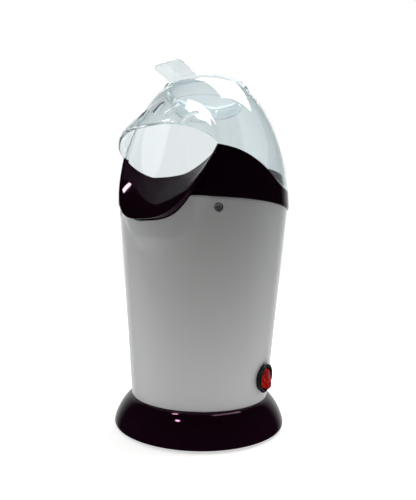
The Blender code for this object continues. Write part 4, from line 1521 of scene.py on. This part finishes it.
@dataclass
class ClearCover:
    """The clear cover: an ellipsoid dome that flows into the hood over the chute."""

    top_z: float = 282.3
    top_r: float = 35.0
    hood_half: float = 46.2
    hood_reach: float = 28.0
    hood_root_z: float = 264.6
    hood_bulge: float = 6.5
    hood_power: float = 1.65
    hood_power_gain: float = 0.35
    crown_inset: float = 1.35
    crease: float = 2.6
    gap: float = 0.3
    wall: float = 1.6
    rim: float = 0.5
    vents: VentRow = field(default_factory=VentRow)

    def field_at(self, degrees: np.ndarray, r: np.ndarray, z: np.ndarray,
                 inset: float) -> np.ndarray:
        """How far a point lies outside the cover's skin, roughly, in millimetres.

        Args:
            degrees: Angle from the front.
            r: Distance from the axis.
            z: Height.
            inset: How far the skin lies inside the outer one.

        Returns:
            The distance, negative inside.
        """
        x, y = r * np.sin(np.radians(degrees)), -r * np.cos(np.radians(degrees))
        rise, wide = SHAPE.cover_rise - inset, SHAPE.cover_r - inset
        dome = (np.sqrt((r / wide) ** 2 + ((z - SHAPE.cover_z) / rise) ** 2) - 1) * wide
        forward = SHAPE.peak_y - y
        reach, half_full = self.hood_reach - inset, self.hood_half - inset
        share = np.clip(forward / reach, -0.35, 0.9995)
        half = half_full * np.sqrt(1 - np.maximum(share, 0) ** 2)
        foot = SHAPE.peak_z + SHAPE.mouth_slope * forward
        tip_z = SHAPE.peak_z + SHAPE.mouth_slope * self.hood_reach
        crown = (self.hood_root_z + (tip_z - self.hood_root_z) * share
                 + self.hood_bulge * share * (1 - share) - self.crown_inset * inset)
        height = np.maximum(crown - foot, 0.05)
        power = self.hood_power + self.hood_power_gain * np.clip(share, 0, 1)
        level = np.maximum(z - foot, 0.0) / height
        size = ((np.abs(x) / half) ** power + level ** power) ** (1 / power)
        hood = (size - 1) * np.minimum(34.0, 4 + half)
        behind = np.maximum(0.0, -9.0 - forward)
        before = np.maximum(0.0, forward - reach * 0.9995) * 3
        return smooth_min(dome, hood + behind + before, self.crease)

    def skin(self, degrees: np.ndarray, z: np.ndarray, inset: float) -> np.ndarray:
        """Radius of the skin, found by halving along each ray from the axis.

        Args:
            degrees: Angle from the front.
            z: Height.
            inset: How far the skin lies inside the outer one.

        Returns:
            The radius.
        """
        near = np.full(np.broadcast(degrees, z).shape, 18.0)
        far = np.full_like(near, 90.0)
        for _ in range(34):
            middle = (near + far) / 2
            out = self.field_at(degrees, middle, z, inset) > 0
            near, far = np.where(out, near, middle), np.where(out, middle, far)
        return (near + far) / 2

    def lower_edge(self, degrees: np.ndarray, inset: float) -> np.ndarray:
        """Height of the lower edge along each column.

        Args:
            degrees: Angles of the columns.
            inset: How far the skin lies inside the outer one.

        Returns:
            The heights.
        """
        z = np.full_like(degrees, SHAPE.seat_back_z + self.gap)
        for _ in range(24):
            r = self.skin(degrees, z, inset)
            z = 0.4 * z + 0.6 * (SHAPE.edge(-r * np.cos(np.radians(degrees))) + self.gap)
        return z

    def columns(self) -> np.ndarray:
        """The columns' angles, closest together over the hood.

        Returns:
            The angles.
        """
        front = np.linspace(-58, 58, 200, endpoint=False)
        back = np.linspace(58, 302, 150, endpoint=False)
        return np.concatenate([front, back])

    def build(self) -> bpy.types.Object:
        """The cover as one shell with rounded rims and its vents.

        Returns:
            The object.
        """
        degrees = self.columns()
        low = self.lower_edge(degrees, 0.0) + self.rim
        low_in = self.lower_edge(degrees, self.wall) + self.rim
        share = np.sin(np.linspace(0, np.pi / 2, 84))[:, None]
        z = low + (self.top_z - 0.5 - low) * share
        outer = [polar(degrees, r, h) for r, h in zip(self.skin(degrees, z, 0.0), z)]
        top = [(40.5, 282.15), (40.05, 282.3), (37.5, self.top_z), (self.top_r + 0.5, self.top_z),
               (self.top_r + 0.15, 282.15), (self.top_r, 281.8), (self.top_r, 281.0),
               (self.top_r + 0.2, 280.6), (self.top_r + 0.6, 280.5), (38.2, 280.45)]
        rows = outer + [polar(degrees, r + 0 * degrees, h) for r, h in top]
        share_in = np.sin(np.linspace(np.pi / 2, 0, 70))[:, None]
        z_in = low_in + (280.2 - low_in) * share_in
        inner_r = self.skin(degrees, z_in, self.wall)
        rows += [polar(degrees, r, h) for r, h in zip(inner_r, z_in)]
        start, end = rows[-1], rows[0]
        for turn in np.radians((20, 45, 70, 90, 110, 135, 160)):
            across = math.copysign(abs(math.cos(turn)) ** 0.5, math.cos(turn))
            rows.append((start + end) / 2 + (start - end) / 2 * across
                        - np.array((0, 0, self.rim * math.sin(turn) ** 0.7)))
        made = quilt("clear_cover", np.array(rows), True)
        soften(made)
        combine(made, self.vents.make(VentPart.BEADS, made), Join.ADD)
        combine(made, self.vents.make(VentPart.CUTTERS, made), Join.CUT)
        soften(made, 38)
        return made

    def publish(self) -> None:
        """Build and hand over the cover."""
        hand_over(self.build(), "clear_plastic", Body.COVER, "dome_cover")


# ---------------------------------------------------------------- measuring cup
@dataclass
class MeasuringCup:
    """The clear cup that closes the cover, with its finger tab."""

    seat_z: float = 282.6
    hole_r: float = 35.0
    rim_r: float = 38.3
    rim_h: float = 4.2
    depth: float = 11.0
    taper: float = 3.0
    thick: float = 1.8
    tab_half: float = 12.9
    tab_length: float = 26.5
    tab_root: Point = (0.0, -33.5, 285.7)
    tab_rise: float = 7.0
    tab_corner: float = 2.2
    tab_bow: float = 1.6

    def bowl(self) -> bpy.types.Object:
        """The turned cup and its rim.

        Returns:
            The object.
        """
        wall = self.hole_r - 0.8
        floor_r, floor_z = wall - self.taper, self.seat_z - self.depth
        top = self.seat_z + self.rim_h
        t = self.thick
        profile = [(0, floor_z + t), *rounded([
            (floor_r - t, floor_z + t, 2.0), (wall - t, top, 0.7), (self.rim_r, top, 0.9),
            (self.rim_r, self.seat_z, 0.6), (wall, self.seat_z, 0.3),
            (floor_r, floor_z, 3.0)], 7), (0, floor_z)]
        dense = [profile[0]]
        for point in profile[1:]:
            last = dense[-1]
            steps = max(1, int(math.dist(last, point) / 3.0))
            dense += [tuple(np.array(last) + (np.array(point) - last) * k / steps)
                      for k in range(1, steps + 1)]
        return turned("measuring_bowl", dense, 180, closed=False)

    def tab(self) -> bpy.types.Object:
        """The flat tab with rounded corners and edges, rising to the front.

        Returns:
            The object.
        """
        inside = 4.0
        outline = [(-self.tab_half, inside), (self.tab_half, inside)]
        for side in (1, -1):
            for k in range(9):
                turn = math.radians(90 * k / 8 if side > 0 else 90 - 90 * k / 8)
                outline.append((side * (self.tab_half - self.tab_corner * (1 - math.cos(turn))),
                                -self.tab_length + self.tab_corner * (1 - math.sin(turn))))
        ring = np.array(outline)
        ring[2:, 1] += self.tab_bow * (ring[2:, 0] / self.tab_half) ** 2 * (ring[2:, 1] < -5)
        rows = []
        for turn in np.radians(np.linspace(-90, 90, 9)):
            pull = 0.55 * (1 - math.cos(turn))
            flat = ring.copy()
            flat[:, 0] -= np.sign(flat[:, 0]) * pull
            flat[2:, 1] += pull * (flat[2:, 1] < -5)
            z = self.thick / 2 * math.copysign(abs(math.sin(turn)) ** 0.8, turn)
            rows.append(np.column_stack([flat, np.full(len(flat), z)]))
        tilt = np.array(Euler((math.radians(-self.tab_rise), 0, 0)).to_matrix())
        return loft("tab", [row @ tilt.T + self.tab_root for row in rows])

    def build(self) -> bpy.types.Object:
        """Bowl and tab as one body.

        Returns:
            The object.
        """
        made = self.bowl()
        made.name = "measuring_scoop"
        combine(made, self.tab(), Join.ADD)
        soften(made, 35)
        return made

    def publish(self) -> None:
        """Build and hand over the cup."""
        hand_over(self.build(), "clear_plastic", Body.CUP, "measuring_cup")


# ---------------------------------------------------------------- switch
@dataclass
class PowerSwitch:
    """The round rocker switch low on the body's right side."""

    height: float = 44.0
    ring_r: float = 11.3
    tube_r: float = 9.8
    rocker_r: float = 7.4
    face: float = 1.5
    lean: float = math.degrees(math.atan((SHAPE.body_top_r - SHAPE.joint_r)
                                         / (SHAPE.body_top_z - SHAPE.joint_z)))

    def set_in_body(self, piece: bpy.types.Object) -> None:
        """Move a piece to its place.

        Args:
            piece: The object, made about the switch's own axes: +Z outward and +X down.
        """
        place = (Matrix.Translation((SHAPE.body(self.height) * MM, AXIS_Y * MM, self.height * MM))
                 @ Euler((0, math.radians(90 + self.lean), 0)).to_matrix().to_4x4()
                 @ TO_ORIGIN)
        piece.data.transform(place)

    def ring(self) -> bpy.types.Object:
        """The bezel and the tube behind it.

        Returns:
            The object.
        """
        face, tube = self.face, self.tube_r
        made = turned("switch_ring", rounded([
            (self.ring_r, face + 1.9, 0.9), (self.ring_r, face, 0.25), (tube, face, 0),
            (tube, -7, 0.2), (tube - 0.8, -7, 0.2), (tube - 0.8, face + 1.9, 0.5)], 6), 96)
        self.set_in_body(made)
        soften(made)
        return made

    def rocker(self) -> bpy.types.Object:
        """The red rocker: the lower half stands out, the upper half is pressed in.

        Returns:
            The object.
        """
        face = self.face
        made = turned("red_rocker_lens", [(0, face + 5.5), (self.rocker_r, face + 5.5),
                                          (self.rocker_r, -5), (0, -5)], 72, closed=False)
        slopes = [(-12, face + 0.2), (0, face + 1.7)]
        slopes += [(self.rocker_r - 1.0, face + 4.6), (12, face + 4.6), (12, 20), (-12, 20)]
        above = loft("rocker_slopes", [np.array([(y, -x, z) for y, z in slopes])
                                       for x in (-12, 12)])
        combine(made, above, Join.CUT)
        ease_edges(made, 0.5, 15, 3)
        self.set_in_body(made)
        soften(made, 28)
        return made

    def publish(self) -> None:
        """Build and hand over the switch."""
        hand_over(self.ring(), "black_plastic", Body.ROOT, "switch_bezel")
        hand_over(self.rocker(), "red_plastic", Body.ROCKER, "switch_rocker")


# ---------------------------------------------------------------- popping chamber
@dataclass
class PoppingChamber:
    """The spun aluminium chamber with its slanted air louvres, and its raised floor."""

    radius: float = 44.5
    wall: float = 0.9
    floor_z: float = 108.0
    top_z: float = 197.9
    louvres: int = 12

    def drum(self) -> bpy.types.Object:
        """The turned wall with its flange and a ring of louvres.

        Returns:
            The object.
        """
        r, w, z = self.radius, self.wall, self.floor_z
        made = turned("spun_chamber", rounded([
            (r + 5, self.top_z, 0.3), (r + 5, self.top_z - w, 0.2), (r + w, self.top_z - w, 0.8),
            (r + w, z, 1.4), (r - 8, z, 0.2), (r - 8, z + w, 0.2), (r, z + w, 1.2),
            (r, self.top_z, 1.2)], 5), 180)
        slot = bar_form((0.9, 3.0, 6.5))
        slot.data.transform(Euler((0, math.radians(-25), 0)).to_matrix().to_4x4())
        slots = COPIES.make("louvre_cutters", slot, "spun_aluminium", self.louvres, 0,
                            360 / self.louvres, r + w / 2, z + 12, 0)
        combine(made, slots, Join.CUT)
        soften(made)
        return made

    def cone(self) -> bpy.types.Object:
        """The raised floor that turns the corn outward.

        Returns:
            The object.
        """
        rim = self.radius - 4
        made = turned("spun_floor", [
            (0, 118), (3, 117.9), (12, 115.5), (rim - 8, 111.1), (rim - 5, 110.6),
            (rim - 0.3, 110.6), (rim, 110.4), (rim, 109.8), (rim - 0.3, 109.6),
            (rim - 5, 109.6), (12, 114.4), (0, 116.8)], 120, closed=False)
        soften(made)
        return made

    def publish(self) -> None:
        """Build and hand over the chamber."""
        hand_over(self.drum(), "spun_aluminium", Body.ROOT, "popping_chamber")
        hand_over(self.cone(), "spun_aluminium", Body.ROOT, "chamber_floor")


# ---------------------------------------------------------------- inner works
@dataclass
class InnerWorks:
    """The hidden parts, which keep their frame meshes and take a finish."""

    slots: dict[str, tuple[str, ...]] = field(default_factory=lambda: {
        "zinc_steel": ("heat_shield", "motor_can", "motor_shaft", "motor_bracket",
                       "motor_screw_1", "motor_screw_2", "motor_screw_3", "thermostat"),
        "mica_board": ("heater_support",),
        "nichrome_wire": ("heating_coil",),
        "circuit_board": ("rectifier_board",),
        "fan_plastic": ("fan_housing", "impeller"),
        "white_ceramic": ("terminal_block",),
        "black_plastic": ("switch_body",),
        "white_wire": ("wire_heater", "wire_motor", "thermal_fuse"),
        "black_wire": ("wire_supply", "wire_switch"),
    })

    def publish(self) -> None:
        """Dress each part that is still shown."""
        for slot, names in self.slots.items():
            for name in names:
                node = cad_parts[name]
                node.data.materials.clear()
                node.data.materials.append(finish(slot))
                LOG.info("%s: carried over in %s", name, slot)


# ---------------------------------------------------------------- studio
@dataclass
class Studio:
    """Pale floor, bright backdrop, soft lights and the camera."""

    eye: Point = (0.2005, -0.3075, 0.129)
    azimuth: float = 32.8
    yaw: float = 0.71
    pitch: float = 2.63
    roll: float = 1.24
    lens: float = 30.24
    floor_sides: int = 96
    floor_r: float = 4.0
    table_r: float = 0.26
    floor_glow: float = 0.63
    beyond_glow: float = 1.0
    lamp_color: Color = (1.0, 0.965, 0.94)
    middle: Point = (0.0, 0.0, 0.16)

    def camera(self) -> None:
        """Set the camera up."""
        data = bpy.data.cameras.new("camera")
        data.lens = self.lens
        data.sensor_width = 36.0
        data.clip_start = 0.01
        made = stand("camera", data)
        made.location = self.eye
        turn = (Euler((0, 0, math.radians(self.azimuth - self.yaw))).to_matrix()
                @ Euler((math.radians(90 + self.pitch), 0, 0)).to_matrix()
                @ Euler((0, 0, math.radians(self.roll))).to_matrix())
        made.rotation_euler = turn.to_euler()
        bpy.context.scene.camera = made

    def floor(self) -> None:
        """A wide pale floor, of which only the part near the object throws light on it."""
        self._ring("floor", 0.0, self.table_r, self.floor_glow)
        beyond = self._ring("floor_beyond", self.table_r, self.floor_r, self.beyond_glow)
        beyond.visible_diffuse = False

    def _ring(self, name: str, near: float, far: float, glow: float) -> bpy.types.Object:
        """One flat ring of the floor.

        Args:
            name: The ring's name.
            near: Its inner radius in metres.
            far: Its outer radius in metres.
            glow: How much light it gives off.

        Returns:
            The ring.
        """
        paint = Paint(f"pale_{name}")
        grey = paint.blend(paint.noise(3.0), (0.86, 0.86, 0.86), (0.88, 0.88, 0.88))
        count = self.floor_sides
        turns = np.arange(count) * math.tau / count
        points = [(r * math.cos(a), r * math.sin(a), 0.0) for r in (near, far) for a in turns]
        faces = [[k, k + count, (k + 1) % count + count, (k + 1) % count] for k in range(count)]
        mesh = bpy.data.meshes.new(name)
        mesh.from_pydata(points, [], faces)
        mesh.materials.append(paint.dress({
            "Base Color": grey, "Roughness": 0.9, "Emission Color": (1, 1, 1, 1),
            "Emission Strength": glow}))
        made = stand(name, mesh)
        made.visible_glossy = False
        return made

    def backdrop(self) -> None:
        """The room: white behind the object, dim behind the camera, black in the gloss there."""
        world = bpy.data.worlds.new("room")
        bpy.context.scene.world = world
        world.use_nodes = True
        graph = Graph(world.node_tree)
        shade = world.node_tree.nodes["Background"]
        way = graph.node("ShaderNodeTexCoord", out="Generated")
        a = math.radians(self.azimuth)
        front = graph.node("ShaderNodeVectorMath", {"operation": "DOT_PRODUCT"},
                           {0: way, 1: (math.sin(a), -math.cos(a), 0.0)}, out="Value")
        height = graph.node("ShaderNodeSeparateXYZ", {}, {"Vector": way}, out="Z")
        soft = graph.eased(front + height * height * 0.7, (-0.05, 1.45), (0.42, 0.0))
        soft = soft * graph.eased(front, (-0.95, 0.12), (-0.25, 1.0))
        gloss = graph.eased(front, (-0.98, 0.9), (-0.5, 0.004))
        rays = world.node_tree.nodes.new("ShaderNodeLightPath")
        depth, through, camera, glossy = (
            Signal(graph, rays.outputs[name])
            for name in ("Glossy Depth", "Is Transmission Ray", "Is Camera Ray", "Is Glossy Ray"))
        straight = 1.0 - depth.at_most(1.0) * 0.82
        seen = camera.at_least(through * straight)
        room = soft + (gloss - soft) * glossy
        graph.feed(shade.inputs["Strength"], room.at_least(seen))
        graph.feed(shade.inputs["Color"], graph.blend(seen, (0.96, 1.0, 0.985), (1, 1, 1)))

    def lights(self) -> None:
        """Soft boxes: a large one behind, and two small ones in front."""
        self._box("window", (0.10, 0.40, 1.25), (0.75, 0.65), 9.0)
        self._box("small_lamp", (-0.11, -0.78, 1.10), (0.10, 0.10), 2.1)
        self._box("overhead_lamp", (-0.30, -0.25, 1.05), (0.08, 0.10), 1.05)

    def _box(self, name: str, place: Point, size: tuple[float, float], power: float) -> None:
        """One rectangular lamp aimed at the middle of the object.

        Args:
            name: The lamp's name.
            place: Its place in metres.
            size: Its sides in metres.
            power: Its power in watts.
        """
        data = bpy.data.lights.new(name, "AREA")
        data.shape = "RECTANGLE"
        data.size, data.size_y = size
        data.energy = power
        data.color = self.lamp_color
        made = stand(name, data)
        made.location = place
        made.visible_camera = made.visible_transmission = False
        way = Vector(self.middle) - Vector(place)
        made.rotation_euler = way.to_track_quat("-Z", "Y").to_euler()

    def build(self) -> None:
        """Set everything up."""
        self.camera()
        self.floor()
        self.backdrop()
        self.lights()
        bpy.context.scene.view_settings.view_transform = "Standard"


def main() -> None:
    """Build the sub-assemblies in order, then the studio."""
    logging.basicConfig(level=logging.INFO, format="%(name)s %(message)s")
    for assembly in (Base(), WhiteBody(), Collar(), ClearCover(), MeasuringCup(), PowerSwitch(),
                     PoppingChamber(), InnerWorks()):
        LOG.info("building %s", type(assembly).__name__)
        assembly.publish()
    Studio().build()


if __name__ == "__main__":
    main()
